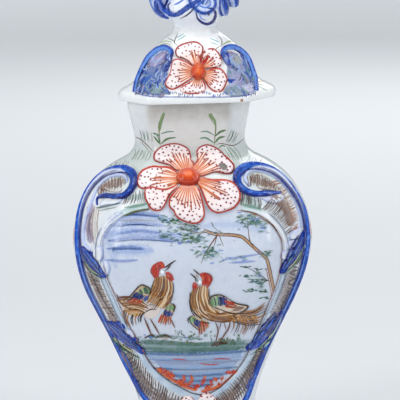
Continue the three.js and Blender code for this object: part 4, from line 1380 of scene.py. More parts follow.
class Sheet:
    # strokes and fills gathered for one piece; later ones lie on top
    def __init__(self, easel, seed=1):
        self.easel, self.count, self.random = easels[easel], 0, np.random.default_rng(seed)
        self.points, self.edges, self.faces = [], [], []
        self.colours, self.halves, self.lifts, self.flats, self.rims = [], [], [], [], []

    def place(self, path):
        flat = (path - self.easel["middle"]) * self.easel["unit"]
        if self.easel["middle"]:
            flat[:, 1] *= -1
        return flat

    def keep(self, flat, colour, half, isFill, rim):
        start = len(self.points)
        count = len(flat)
        self.points += [(x * mm, y * mm, 0) for x, y in flat]
        self.colours += list(np.broadcast_to(colour, (count, 4)))
        self.halves += list(np.broadcast_to(half, count) * self.easel["unit"] * mm)
        self.lifts += [self.count * brush["layer"]] * count
        self.flats += [isFill] * count
        self.rims += list(np.broadcast_to(rim, count))
        self.count += 1
        return start

    def stroke(self, ink, width, path, press="both", strength=1.0, fade=None):
        path = pairs(path)
        fine = catmull(path, 4) if len(path) > 2 else np.linspace(path[0], path[-1], 6)
        t = np.linspace(0, 1, len(fine))
        shape = {
            "both": np.sin(np.pi * np.clip(t, 0.02, 0.98)) ** 0.5,
            "even": np.minimum(1, 8 * np.minimum(t, 1 - t) + 0.45),
            "start": np.sqrt(np.clip(1.02 - t, 0, 1)) * np.minimum(1, t * 12 + 0.4),
            "end": np.sqrt(np.clip(t + 0.02, 0, 1)) * np.minimum(1, (1 - t) * 12 + 0.4),
        }[press]
        flat = self.place(fine)
        colours = np.tile([*inkTint(ink), strength], (len(flat), 1))
        if fade:
            colours[:, :3] += (inkTint(fade) - inkTint(ink)) * smooth(0.3, 1.0, t)[:, None]
        start = self.keep(flat, colours, np.maximum(shape, brush["thinnest"]) * width / 2, 0.0, 0.0)
        self.edges += [(start + i, start + i + 1) for i in range(len(flat) - 1)]

    def fill(self, ink, outline, strength=1.0, columns=None):
        # a brushed-in area, as rings from its outline to its middle
        outline = pairs(outline)
        size = np.ptp(outline, axis=0).max()
        columns = columns or int(np.clip(size * brush["fillColumns"], 14, 90))
        rim = evenLoop(outline, columns, 6)
        middle = rim.mean(0)
        shares = np.linspace(1, 0.04, int(np.clip(size * self.easel["unit"] / brush["fillGap"], 4, 24)))
        flat = np.vstack([self.place(middle + (rim - middle) * share) for share in shares])
        rims = np.repeat(shares, columns)
        colours = np.tile([*inkTint(ink), strength], (len(flat), 1))
        start = self.keep(flat, colours, 1e-3, 1.0, rims ** 3)
        turn = -1 if self.easel["middle"] else 1
        loop = np.roll(rim, -1, 0)
        area = ((rim[:, 0] * loop[:, 1] - loop[:, 0] * rim[:, 1]).sum()) * turn
        for r in range(len(shares) - 1):
            for k in range(columns):
                a, b = start + r * columns + k, start + r * columns + (k + 1) % columns
                face = [a, b, b + columns, a + columns]
                self.faces.append(face if area > 0 else [a, *face[:0:-1]])

    def dot(self, ink, spot, size, strength=1.0):
        turns = np.linspace(0, 2 * math.pi, 7)[:-1] + self.random.uniform(0, 1)
        ring = np.stack([np.cos(turns), np.sin(turns) * self.random.uniform(0.7, 1)], 1) * size / 2
        self.fill(ink, np.asarray(spot, float) + ring, strength, columns=8)

    def wander(self, path, much):
        path = pairs(path)
        return path + self.random.normal(0, much, path.shape)

    def hatch(self, shades, width, low, high, count, much, press="both", strength=1.0, bow=0.0):
        # strokes from one guide line to the other, in one ink or in inks chosen from a list
        uniform = self.random.uniform
        guides = [catmull(pairs(guide), 8) for guide in (low, high)]
        shades = [shades] if isinstance(shades, str) else shades
        for i in range(count):
            t = (i + 0.5 + uniform(-0.2, 0.2)) / count
            first, last = (guide[int(t * (len(guide) - 1))] for guide in guides)
            a, b = (first + (last - first) * (share + uniform(-0.06, 0.06)) for share in (0, 1))
            across = np.array([-(b - a)[1], (b - a)[0]]) * bow
            ink, wide = self.random.choice(shades), width * uniform(0.75, 1.2)
            self.stroke(ink, wide, self.wander([a, (a + b) / 2 + across, b], much), press, strength)

    def lay(self, name, target, body, material=None, spacing=0.8, columns=4, lift=0.03):
        mesh = meshFrom(name, self.points, self.faces, self.edges)
        storeColour(mesh, "ink", self.colours)
        values = {"halfWidth": self.halves, "lift": self.lifts, "flat": self.flats, "edge": self.rims}
        for title in values:
            storeValue(mesh, title, values[title])
        obj = addObject(name, mesh)
        easel = self.easel
        runTree(obj, brushStrokes, {
            "Target": target, "Eye": tuple(easel["eye"] * mm), "Origin": tuple(easel["origin"] * mm),
            "Right": tuple(easel["right"]), "Up": tuple(easel["up"]), "Spacing": spacing * mm,
            "Columns": columns, "Lift": lift * mm, "Material": material or enamelInk,
        })
        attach(obj, body)
        print(name, self.count, "strokes,", len(obj.data.vertices), "points")


# The picture, in photo pixels: sky, tree, two cockerels on a bank and water; paths run x, y, x, y

def dabs(sheet, shades, clusters, long, wide, rise=0, strength=(0.8, 0.9)):
    # clusters of short dabs: x, y, reach across, reach up, how many
    random = sheet.random
    for x, y, acrossX, acrossY, count in pairs(clusters, 5):
        for _ in range(int(count)):
            spot = random.normal(0, 0.45, 2) * (acrossX, acrossY) + (x, y)
            reach = random.uniform(*long) / 2
            out = np.array([random.normal(0, 0.6), rise * reach] if rise else [reach, random.normal(0, 0.4)])
            ink, width = random.choice(shades), random.uniform(*wide)
            sheet.stroke(ink, width, [spot - out, spot + out], "both", random.uniform(*strength))


def washes(sheet, rows, press="both", shares=(1.0,)):
    # rows of ink, width, strength and paths; several shares of the width give a stroke a soft edge
    for ink, width, strength, *paths in rows:
        for path in paths:
            for share in shares:
                sheet.stroke(ink, width * share, path, press, strength)


def paintSky():
    sheet = Sheet("photo", 3)
    soft = (1.3, 0.65)
    washes(sheet, [
        ("8fb3a6", 9, 0.12, [160, 221, 182, 224, 200, 237], [178, 234, 205, 240], [242, 215, 262, 226],
            [200, 254, 220, 256], [254, 272, 264, 294]),
        ("paleBlue", 14, 0.2, [108, 220, 136, 216, 168, 220], [100, 236, 132, 232, 182, 238],
            [112, 251, 132, 250, 154, 251]),
        ("paleBlue", 11, 0.1, [200, 226, 235, 225, 268, 232], [106, 236, 112, 252, 116, 268]),
        ("sky", 6, 0.17, [114, 214, 136, 213, 162, 216], [110, 226, 135, 223, 166, 226],
            [108, 241, 140, 238, 184, 242]),
        ("sky", 4, 0.25, [106, 249, 128, 247, 145, 249], [106, 260, 124, 261, 138, 260],
            [116, 234, 140, 231, 160, 233]),
        ("blue", 2, 0.1, [118, 216, 136, 215, 158, 217], [114, 227, 138, 225, 160, 227],
            [112, 242, 140, 240, 176, 242], [112, 250, 128, 249, 144, 250]),
        ("sky", 3, 0.26, [222, 260, 260, 254], [229, 263, 256, 261]),
        ("white", 4, 0.2, [120, 221, 140, 220, 160, 221]),
    ], shares=soft)
    for ink, strength, outline in (
        ("93b2dc", 0.7, [138, 350, 190, 352, 247, 349, 240, 364, 228, 376, 208, 388, 197, 389, 180, 383,
            158, 368, 146, 358]),
        ("7a9c98", 0.7, [136, 339, 165, 340, 200, 342, 250, 339, 248, 349, 200, 352, 141, 351]),
    ):
        sheet.fill(ink, outline, strength)
    washes(sheet, [
        ("water", 6, 0.45, [140, 353, 190, 355, 248, 351]),
        ("water", 5, 0.4, [150, 368, 192, 370, 238, 367], [160, 374, 190, 376, 232, 373]),
        ("water", 3, 0.15, [146, 359, 180, 361, 215, 359], [200, 362, 224, 362, 242, 359]),
        ("water", 4, 0.4, [166, 379, 196, 381, 222, 378], [176, 384, 196, 386, 214, 384]),
        ("b4bcd8", 5, 0.35, [148, 362, 190, 363, 238, 361]),
        ("white", 2.4, 0.2, [150, 357, 232, 356], [160, 370, 190, 371, 226, 369]),
        ("bank", 6, 0.45, [136, 342, 200, 345], [190, 345, 228, 343, 250, 344],
            [140, 348, 190, 350, 246, 347]),
        ("5c8a94", 3, 0.45, [138, 351, 180, 352, 244, 349]), ("bank", 3, 0.3, [146, 337, 168, 336, 190, 338]),
    ], shares=soft)
    dabs(sheet, ["leaf", "leaf", "moss", "green", "sky", "bank"], [
        168, 219, 11, 5, 26, 185, 228, 18, 8, 60, 164, 236, 12, 4, 22, 198, 238, 15, 6, 34, 187, 242, 22, 3,
        24, 249, 220, 16, 9, 56,
        262, 226, 7, 8, 22, 208, 254, 21, 10, 60, 240, 258, 10, 3, 9, 258, 279, 9, 13, 30, 266, 255, 7, 5,
        16, 158, 336, 16, 3, 16, 190, 338, 26, 3, 26,
    ], (2.2, 6), (1.3, 2.6), strength=(0.3, 0.65))
    sheet.lay("skyPaint", vaseShell, "vase", washInk)


def offsetLine(path, shift):
    # a line beside a path, by that many pixels
    fine = catmull(pairs(path), 4)
    along = np.gradient(fine, axis=0)
    along /= np.linalg.norm(along, axis=1, keepdims=True)
    return fine + np.stack([along[:, 1], -along[:, 0]], 1) * shift


def paintTree():
    sheet = Sheet("photo", 7)
    trunk = [203, 230, 215, 234, 232, 235, 242, 237, 247, 241, 258, 251, 264, 256, 268, 263, 274, 292]
    sheet.stroke("c0a184", 3.2, trunk, "end", 0.95)
    for ink, width, shift in (("brown", 1.1, -1.3), ("gold", 1.2, 0.2), ("umber", 0.9, 1.4)):
        sheet.stroke(ink, width, offsetLine(trunk, shift), "even", 0.9)
    washes(sheet, [
        ("brown", 1.5, 0.95, [180, 227, 184, 229.5, 200, 233, 208, 232],
            [254, 248, 250, 241, 248.5, 233, 247, 214], [218, 234, 206, 252, 201, 264]),
        ("olive", 1.3, 0.9, [248, 229, 238, 215], [248, 226, 252, 221, 256, 218],
            [211, 222, 214, 227, 219, 232]),
        ("brown", 1.1, 0.9, [217, 235.5, 215, 243, 212, 252], [219, 235, 224, 247]),
        ("umber", 1.2, 0.9, [269, 281.5, 257, 273, 246, 267], [270, 281, 251, 279],
            [267, 280, 262, 284, 260, 288]),
        ("gold", 1.2, 0.9, [266, 268, 271, 292, 271, 300]),
    ], "start")
    dabs(sheet, ["green", "green", "moss", "2f5f5c"], [
        247, 267, 5, 1.6, 7, 262, 269.5, 6, 1.4, 7, 245.5, 276.5, 6, 1.8, 8, 257, 282, 9, 2.4, 14, 252, 290,
        7, 2.4, 12, 264.5, 291.5, 6, 2.2, 10,
        264, 298, 6, 1.2, 6, 216, 232, 8, 1.6, 5, 176, 221, 5, 3, 8, 198, 229, 8, 3, 10, 186, 238, 14, 4,
        14, 243, 219, 6, 4, 10, 256, 222, 7, 4, 10, 209, 250, 10, 5, 14, 268, 251.5, 5, 3, 8,
    ], (1.8, 4.6), (1, 2))
    dabs(sheet, ["green", "moss", "3d5e52", "olive"], [
        178, 333, 7, 3, 14, 192, 335, 6, 4, 12, 188, 343, 18, 3, 22, 226, 341, 12, 4, 36, 212, 338, 4, 5,
        14, 239, 336, 5, 4, 14, 206, 336, 4, 2, 5, 158, 342, 14, 2, 16,
    ], (1, 3), (0.9, 2), rise=-1)
    washes(sheet, [
        ("red", 1.2, 0.9, [172, 359, 180, 359, 187, 360], [213, 359, 221, 358.5, 231, 359],
            [200, 363, 209, 364.5, 219, 364]),
    ])
    shores = [157, 368, 165, 375, 184, 386, 197, 390], [238, 370, 224, 383, 214, 388, 201, 391]
    edges = [offsetLine(path, 1) for path in shores]
    washes(sheet, [("orange", 3, 0.85, *shores), ("red", 1.4, 0.9, *edges)], "even")
    dabs(sheet, ["red", "red", "c8401c", "orange"], [
        163, 371, 5, 2, 18, 170, 374, 5, 2, 18, 183, 383, 4, 2.4, 16, 161, 369, 3, 1.6, 12, 167, 372.5, 4,
        2, 20, 172, 375.5, 3, 2, 14, 180, 381, 3.4, 2.6, 16, 184, 378, 2.6, 3.4, 18, 188, 384, 4, 2, 16,
        192, 379, 2, 3.4, 16,
        197, 386, 4, 2, 20, 203, 381, 2.6, 4, 24, 208, 386, 4, 2, 18, 212, 382, 2.4, 3, 14, 216, 379, 2.4,
        3, 14, 219, 384, 3, 2, 12, 223, 378, 2.4, 2.4, 12, 229, 372, 3, 1.6, 14, 234, 371, 2.6, 1.6, 10,
    ], (1, 2.6), (1.6, 2.8), rise=-1, strength=(0.9, 1))
    sheet.lay("treePaint", vaseShell, "vase")


# the cockerels: filled areas, then rows of feathers between two guide lines, then single lines
plumage = ["brown", "brown", "gold", "8a5a2c", "4a2a14", "a9783f", "e2cba8"]
greens, blues = ["6d8a5e", "8eb083", "3f5c48"], ["1c2a66", "101a50", "28408a"]
reds = ["bb5526", "b8301a", "8a3a1c"]
cockerels = [
    {
        "fills": [
            ("c9a479", [155, 277, 152, 287, 149, 294, 147, 303, 155, 307, 164, 309, 170, 304, 173, 295, 173,
                281, 166, 276]),
            ("e2d6cf", [144, 303, 150, 301, 157, 303, 161, 309, 157, 316, 151, 319, 146, 318, 142, 311]),
            ("cba679", [119, 299, 124, 303, 133, 302, 147, 304, 146, 311, 140, 316, 132, 316, 125, 311]),
            ("c9b08e", [123, 300, 130, 295, 137, 287, 144, 285, 150, 288, 151, 294, 147, 301, 140, 303, 130,
                302]),
            ("c9b08e", [167, 306, 171, 303, 175, 306, 174, 313, 170, 319, 163, 323, 159, 320, 163, 312]),
            ("b82a12", [152, 266, 160, 261, 164, 263, 165, 267, 160, 270, 159, 276, 155, 278.5, 152, 275]),
            ("b82a12", [165, 273, 168, 271.5, 172, 274, 174, 279, 172, 282, 168, 280]),
        ],
        "feathers": [
            # inks, width, press, one guide, the other, how many, how bowed
            (plumage, 1.5, "both", [155, 287, 163, 290, 172, 292], [146, 303, 155, 309, 168, 306], 16, -0.12),
            (plumage, 1.5, "both", [156, 277, 164, 276, 172, 281], [148, 295, 158, 299, 171, 298], 18, -0.1),
            (plumage, 1.5, "both", [118, 297, 120, 303, 127, 312], [143, 302, 148, 307, 146, 314], 14, -0.1),
            (["brown", "gold", "umber"], 1.5, "start", [124, 309, 134, 314, 148, 311],
                [127, 327, 134, 326, 143, 321], 10, 0.15),
            (greens, 2.4, "both", [138, 291, 143, 287, 149, 288], [140, 295, 145, 294, 150, 294], 8),
            (blues, 2.6, "both", [136, 292, 142, 294, 149, 296], [131, 298, 138, 299, 146, 301], 9),
            (reds, 1.9, "start", [133, 298, 138, 299, 143, 301], [128, 302, 135, 304, 141, 304], 8),
            (greens, 2.2, "both", [168, 306, 171, 304, 174, 306], [166, 309, 170, 310, 174, 310], 6),
            (blues, 2.4, "both", [165, 309, 169, 310, 173, 312], [163, 315, 167, 317, 171, 316], 6),
            (reds, 1.7, "start", [162, 313, 166, 316, 171, 317], [157, 323, 164, 325, 171, 325], 8),
        ],
        "lines": [
            ("8e1c10", 1.4, [152, 267, 151, 272, 155, 277], [156, 264, 156.5, 270], [160, 265, 159, 271],
                [169, 275, 172, 281]),
            ("orange", 1.2, [157, 265, 156, 268], [162, 263.5, 163, 266], [167.5, 274, 169, 277]),
            ("white", 4.8, [160.5, 271.5, 164.5, 271.5]),
            ("dark", 1.8, [163.2, 270, 164.6, 271.4]), ("umber", 1.6, [164, 268, 176, 260],
                [165, 271, 171, 265]),
            ("umber", 1.4, [155, 278, 147, 301], [173, 282, 173, 292, 170, 304],
                [157, 304, 161, 299, 164, 297], [145, 312, 151, 309, 157, 309]),
            ("umber", 1.7, [123, 301, 130, 296, 140, 285.5, 146, 286, 150, 289, 150, 294],
                [171, 303, 175, 306, 173, 312], [127, 301, 133, 297]),
            ("brown", 1.5, [117, 294, 120, 301, 127, 307, 137, 310], [171, 319, 175, 328]),
            ("grey", 1, [146, 306, 152, 304, 157, 307]),
            ("brown", 1.8, [144, 317, 152, 336], [150, 318, 160, 335]),
            ("umber", 2.4, [144, 338, 152, 335, 155, 337], [155, 338, 160, 336, 166, 335, 172, 338]),
            ("ochre", 1.1, [147, 337, 151, 336.5], [159, 337.5, 169, 337.5]),
        ],
    },
    {
        "fills": [
            ("c9a479", [192, 290, 190, 300, 191.5, 309, 197, 316, 207, 319, 217, 317, 211, 304, 209, 297,
                208, 287, 202, 285]),
            ("cba679", [204, 309, 214, 308, 228, 311, 250, 313, 257, 316, 250, 320, 226, 322, 210, 320]),
            ("e6ddd6", [214, 312, 220, 308, 226, 312, 231, 319, 223, 322, 215, 320]),
            ("dccbb6", [209, 303, 212, 297, 219, 294, 227, 297, 236, 302, 248, 306, 241, 312, 230, 312, 218,
                308]),
            ("c9b08e", [189, 319, 192, 315, 198, 317, 208, 321, 209, 326, 203, 331, 196, 328]),
            ("b82a12", [199, 274, 204, 272, 209, 273, 212, 277, 212, 282, 207, 288, 202, 285, 202, 279]),
            ("b82a12", [192, 286, 193, 282, 196, 282, 198, 286, 196, 291, 193, 291]),
        ],
        "feathers": [
            (plumage, 1.6, "both", [191, 302, 197, 302, 207, 299], [202, 318, 210, 318, 219, 313], 16, 0.14),
            (plumage, 1.6, "both", [192, 290, 199, 286, 208, 286], [192, 311, 199, 309, 211, 303], 18, 0.1),
            (plumage, 1.5, "both", [204, 309, 208, 314, 210, 319], [230, 312, 238, 316, 232, 321], 13, 0.1),
            (["brown", "gold", "umber"], 1.6, "start", [229, 314, 242, 316, 254, 316],
                [231, 332, 243, 334, 257, 325], 12, -0.22),
            (["gold", "brown", "gold", "umber"], 1.6, "end", [260, 323, 267, 311, 265, 301],
                [232, 320, 240, 316, 240, 312], 11, -0.12),
            (greens, 2.6, "both", [211, 300, 214, 296, 219, 295.5], [211, 305, 216, 306, 220, 304], 8),
            (blues, 2.6, "both", [219, 296, 223, 296, 227, 298], [219, 305, 223, 306, 227, 304], 7),
            (reds, 2, "start", [224, 300, 226, 303, 225, 306], [232, 302, 237, 305, 234, 308], 8),
            (["brown", "8a7468"], 1, "both", [231, 306, 233, 309, 230, 311.5],
                [244, 306, 244, 308, 240, 311], 5),
            (greens, 2.2, "both", [190, 318, 192, 316, 195, 317], [191, 323, 194, 323, 196, 321], 6),
            (blues, 2.4, "both", [194, 319, 198, 319, 201, 321], [195, 325, 198, 327, 201, 326], 6),
            (reds, 1.8, "start", [199, 322, 202, 321, 207, 322], [199, 336, 203, 333, 210, 326], 8),
        ],
        "lines": [
            ("8e1c10", 1.4, [203, 273, 209, 274, 212, 279, 207, 288], [205.5, 276, 206, 284],
                [193, 284, 194, 291, 197, 290]), ("orange", 1.2, [202.5, 275, 203.5, 280],
                [209, 277, 209, 281]),
            ("white", 4.8, [198.5, 279.5, 201, 283.5]), ("dark", 1.9, [197.8, 279.4, 198.6, 281.6]),
            ("umber", 1.6, [193, 269, 200, 275], [190, 273, 197, 279]),
            ("ochre", 1.1, [195.5, 274, 198.5, 277]), ("umber", 1.4, [195, 278, 196.5, 281.5],
                [190, 291, 190, 301, 191, 310, 195, 316], [209, 288, 209, 296, 211, 300]),
            ("umber", 1.9, [209, 305, 209, 300, 212, 296, 219, 294.5, 227, 297],
                [226, 297, 236, 303, 248, 306, 240, 312.5, 230, 312.5, 210, 305]),
            ("brown", 1.6, [200, 314, 208, 319, 218, 321, 231, 321], [215, 310, 219, 313, 226, 313]),
            ("umber", 1.4, [189, 323, 188, 319, 193, 315], [190, 322, 194, 326, 199, 330],
                [201, 320, 205, 322, 210, 323]),
            ("brown", 1.7, [230, 320, 228, 329, 216, 346], [215, 321, 218, 329, 217, 336, 215, 344]),
            ("brown", 1, [221, 322, 219.5, 329], [224, 322, 226, 329]),
            ("umber", 2.4, [211, 345.5, 214, 344, 219, 344], [216, 346, 221, 343, 227, 343]),
        ],
    },
]


def paintCockerels():
    sheet = Sheet("photo", 5)
    for bird in cockerels:
        for ink, outline in bird["fills"]:
            sheet.fill(ink, outline, 0.9)
        for shades, width, press, low, high, count, *bow in bird["feathers"]:
            sheet.hatch(shades, width, low, high, count, 0.3, press, strength=0.97, bow=sum(bow))
        washes(sheet, [(ink, width, 1.0, *paths) for ink, width, *paths in bird["lines"]])
    sheet.lay("cockerelPaint", vaseShell, "vase", spacing=0.7, lift=0.3)


paintSky()
paintTree()
paintCockerels()


# Paint on the frame round the picture: hatching, dark lines and green at the leaves

def joinedWall(name, pieces):
    # one wall to aim the brush at, across the glaze and the relief on it
    form = bmesh.new()
    for piece in pieces:
        form.from_mesh(piece.data)
    mesh = bpy.data.meshes.new(name)
    form.to_mesh(mesh)
    form.free()
    return addObject(name, mesh)


frameHatch = [
    # ink, width, low guide, high guide, count, strength
    ("hatch", 0.8, [98, 198, 104, 193.5, 112, 190.5, 120, 188.5, 126, 184],
        [97, 188, 104, 180.5, 112, 177, 120, 176.5, 126, 179], 22, 0.9),
    ("5f4a44", 0.6, [100, 196, 108, 192, 118, 189], [100, 185, 110, 178, 122, 177], 9, 0.8),
    ("5f5048", 0.8, [122, 205, 134, 203.5, 147, 202], [126, 195.5, 136, 191.5, 146, 189], 15, 0.85),
    ("brown", 1.3, [83, 260, 89, 279, 98, 298, 110, 320], [89, 268, 94, 281, 102.5, 299, 115, 320], 21, 0.95),
    ("5f4a44", 0.7, [89.5, 268, 94.5, 281, 103, 299, 117, 321],
        [97.5, 270, 101.5, 283, 108.5, 298, 121, 323], 26, 0.85),
    ("4a322a", 1.1, [118, 348, 130, 371, 145, 396, 160, 410, 180, 416],
        [126, 341, 136, 353, 150, 373, 168, 389, 188, 399], 56, 0.92),
    ("a08a80", 0.7, [121, 352, 134, 378, 150, 400, 172, 412], [131, 348, 143, 366, 160, 384, 180, 396], 24,
        0.8),
    ("dark", 1.2, [123, 347, 131, 363, 139, 378], [128, 344, 136, 360, 145, 374], 9, 0.85),
    ("hatch", 0.8, [248, 187, 254, 186.5, 262, 188, 270, 189.5, 278, 191],
        [247, 176, 253, 173, 262, 175, 271, 181, 279, 189], 24, 0.9),
    ("5f4a44", 0.6, [251, 184, 259, 186, 268, 188], [250, 175, 260, 175, 270, 181], 9, 0.8),
    ("b0714a", 0.8, [270, 182, 280, 193, 286.5, 205, 290.5, 219, 291.5, 231],
        [278, 180, 287, 190, 293.5, 202, 297.5, 216, 298, 229], 28, 0.9),
    ("6b5248", 0.8, [262, 209, 273, 216, 281, 225, 286, 236], [270, 199, 283, 203, 290, 216, 292, 231], 28,
        0.9),
    ("5f5048", 0.8, [240, 205.5, 250, 207, 261, 210], [242, 190, 250, 195, 261, 199], 14, 0.85),
    ("5f4a44", 1, [299, 262, 291, 289, 280, 311, 267, 337], [293, 262, 286.5, 287, 277.5, 306, 264.5, 332],
        26, 0.9),
    ("brown", 0.7, [289, 268, 283.5, 288, 274, 308, 262, 333], [286, 266, 280.5, 287, 271, 309, 259, 336],
        26, 0.85),
    ("4a322a", 1.1, [265, 350, 253, 376, 240, 400, 224, 412, 210, 416],
        [257, 350, 246, 366, 231, 384, 215, 396, 208, 399], 56, 0.92),
    ("a08a80", 0.7, [262, 355, 250, 380, 234, 402, 222, 410], [254, 355, 242, 372, 228, 388, 214, 397], 24,
        0.8),
]
frameLines = [
    # ink, width, press, path, strength
    ("cobalt", 5, "both", [116, 343, 127.5, 361, 134, 379, 141.5, 395], 0.9),
    ("cobalt", 3.6, "both", [264, 353, 254.5, 371, 245, 389], 0.85),
    ("dark", 1.1, "both", [87, 266, 90, 271, 103, 299, 117.5, 321], 0.9),
    ("dark", 1.2, "start", [119, 341, 131.5, 372, 140, 399], 0.9),
    ("olive", 1.2, "both", [122, 216, 135, 211, 150, 208.5], 0.8),
    ("dark", 1.1, "both", [304, 249, 301, 257, 297, 263], 0.9),
    ("dark", 1, "even", [300, 262, 291, 265, 298.5, 269, 289.5, 273, 297, 277, 288, 282, 294, 286], 0.85),
    ("dark", 1, "both", [290, 287, 281.5, 306, 270, 329], 0.8),
    ("dark", 1, "start", [257, 350, 249, 366, 236, 388], 0.8),
    ("green", 1.6, "both", [96.5, 208, 104, 207, 122, 203], 0.8),
    ("green", 1.4, "both", [99, 211, 118, 207], 0.55), ("leaf", 3, "both", [124, 208, 148, 203.5], 0.6),
    ("leaf", 3, "both", [240, 204, 250, 206, 262, 209.5], 0.6),
    ("green", 1.4, "both", [84, 256, 88, 266, 96, 275, 104, 279], 0.8),
    ("9fb878", 1.2, "both", [86, 262, 92, 270, 100, 275], 0.8),
    ("green", 2, "both", [302.5, 246, 298, 258, 290, 268, 283, 274], 0.8),
    ("6f9a70", 3, "both", [301, 240, 296, 253, 288, 262], 0.55),
    ("c9cc9a", 1.2, "both", [300, 252, 294, 262, 286, 270], 0.8),
    ("green", 2, "both", [111, 336, 121, 347, 140, 358], 0.8),
    ("c9cc9a", 1.4, "both", [113, 337, 124, 346, 134, 352], 0.8),
    ("6f9a70", 2.6, "both", [279, 322, 271, 336, 259, 347], 0.7),
    ("c9cc9a", 1.4, "both", [281, 318, 273, 332, 262, 344], 0.8),
    ("green", 1.4, "both", [276, 330, 266, 343, 250, 355], 0.8),
    ("gold", 1.1, "both", [236.5, 210.5, 249, 212, 258, 216.5], 0.9),
    ("brown", 1.1, "both", [258, 216.5, 265, 221, 273, 226, 282.5, 242], 0.9),
    ("gold", 0.9, "both", [95.5, 206, 93, 219, 92.5, 233, 95, 245], 0.8),
    ("hatch", 0.9, "both", [91, 212, 88.5, 226, 89, 240], 0.7),
    ("gold", 0.9, "both", [99.5, 208, 97.5, 222, 98, 237], 0.7),
    ("5f4a44", 0.7, "both", [94, 208, 90, 224, 91.5, 242], 0.7),
    ("deep", 2, "both", [100, 197, 108, 194.5, 117, 195.5], 0.85),
    ("deep", 2, "both", [259, 192, 267, 190.5, 277, 191.5], 0.85),
    ("white", 1, "both", [103, 199.5, 121, 198], 0.8), ("deep", 1.6, "both", [260, 196, 275, 194.5], 0.8),
]


def paintFrame():
    wall = joinedWall("frameWall", [vaseShell, leftFrame, rightFrame, pictureStrip])
    wash = Sheet("photo", 21)
    for ink, width, strength, path in (
        ("a898b8", 9, 0.6, [92, 204, 88, 222, 91, 243]), ("b49c90", 10, 0.7, [100, 190, 110, 184, 122, 182]),
        ("b49c90", 9, 0.7, [252, 179, 262, 182, 274, 188]),
        ("a48878", 12, 0.8, [272, 196, 286, 208, 291, 226]),
        ("a9b6de", 7, 0.45, [123, 213, 112, 222, 105, 233]), ("9dbfba", 8, 0.4, [126, 198, 150, 196]),
        ("9dbfba", 8, 0.4, [240, 199, 250, 201, 262, 205]),
        ("9a8274", 12, 0.75, [90, 268, 100, 294, 116, 322]),
        ("857068", 15, 0.8, [122, 348, 138, 376, 160, 398, 184, 408]),
        ("a39492", 12, 0.7, [294, 266, 283, 298, 265, 336]),
        ("a5887a", 15, 0.75, [262, 350, 248, 378, 228, 400, 208, 408]),
        ("4f5a78", 8, 0.5, [123, 351, 134, 373, 150, 395]),
        ("666c8a", 8, 0.4, [259, 354, 248, 373, 234, 391]),
    ):
        wash.stroke(ink, width, path, "even", strength)
    wash.lay("frameWash", wall, "vase", washInk, lift=0.02)
    sheet = Sheet("photo", 22)
    for ink, width, low, high, count, strength in frameHatch:
        sheet.hatch(ink, width, low, high, count, 0.35, strength=strength, bow=0.06)
    for ink, width, press, path, strength in frameLines:
        sheet.stroke(ink, width, path, press, strength)
    strip = pictureBorder["strip"]
    # lines beside the border strip; the pale lavender one is painted shade along its edge
    for ink, width, shift, first, last in (
        ("olive", 1.1, 3.6, 0, 2), ("a9b6de", 1, 3.6, 2, 8), ("8a5a4a", 1, 3.6, 7, 13),
        ("umber", 1.2, 3.8, 12, 25), ("8a5a4a", 1, 3.6, 24, 31),
        ("brown", 1.1, 3.6, 30, 36), ("7a8ca8", 0.8, -3, 4, 12), ("7a8ca8", 0.8, -3, 25, 32),
    ):
        sheet.stroke(ink, width, offsetLine(strip, shift)[first * 4:last * 4 + 1], "even", 0.85)
    for own in frameSide.values():
        band = pairs(own["scroll"], 4)[:, :2]
        hand = own["hand"]
        # dark lines along each scroll, and pale blue streaks near its middle that are painted highlights
        for ink, width, shift, first, last, strength in (
            ("deep", 1.7, -2.2, 2, 21, 0.9), ("deep", 1.5, 2, 4, 9, 0.8), ("deep", 1.2, 0.2, 9, 15, 0.6),
            ("deep", 1.5, 2, 16, 22, 0.8), ("0a155f", 1, 0.6, 15, 20, 0.75), ("74a0f0", 1.2, 0.2, 5, 9, 0.8),
            ("4a86e6", 1.2, -1.2, 9, 12, 0.8),
        ):
            sheet.stroke(ink, width, offsetLine(band, shift * hand)[first * 4:last * 4], "both", strength)
        for i in own["cobaltPads"]:
            outline, root = pairs(own["pads"][i][0]), np.array(own["pads"][i][1])
            tip = outline[np.argmax(np.linalg.norm(outline - root, axis=1))]
            out = tip - root
            across = np.array([-out[1], out[0]]) / np.linalg.norm(out)
            # cobalt and dark veins on each leaf, with pale blue streaks that are painted highlights
            for ink, width, shift, strength in (
                ("cobalt", 5, 0, 0.7), ("deep", 2.4, -2.6, 0.9), ("0a155f", 1.7, 0.4, 0.85),
                ("deep", 2.2, 2.8, 0.9), ("4a86e6", 1.2, -1, 0.7), ("9abaf4", 0.8, 1.8, 0.6),
            ):
                start, end = root + out * 0.12 + across * shift, root + out * 0.9 + across * shift * 0.5
                path = [start, (start + end) / 2 + across * shift * 0.4, end]
                sheet.stroke(ink, width, sheet.wander(path, 0.4), "both", strength)
    sheet.lay("framePaint", wall, "vase", lift=0.04)
    bpy.data.objects.remove(wall)


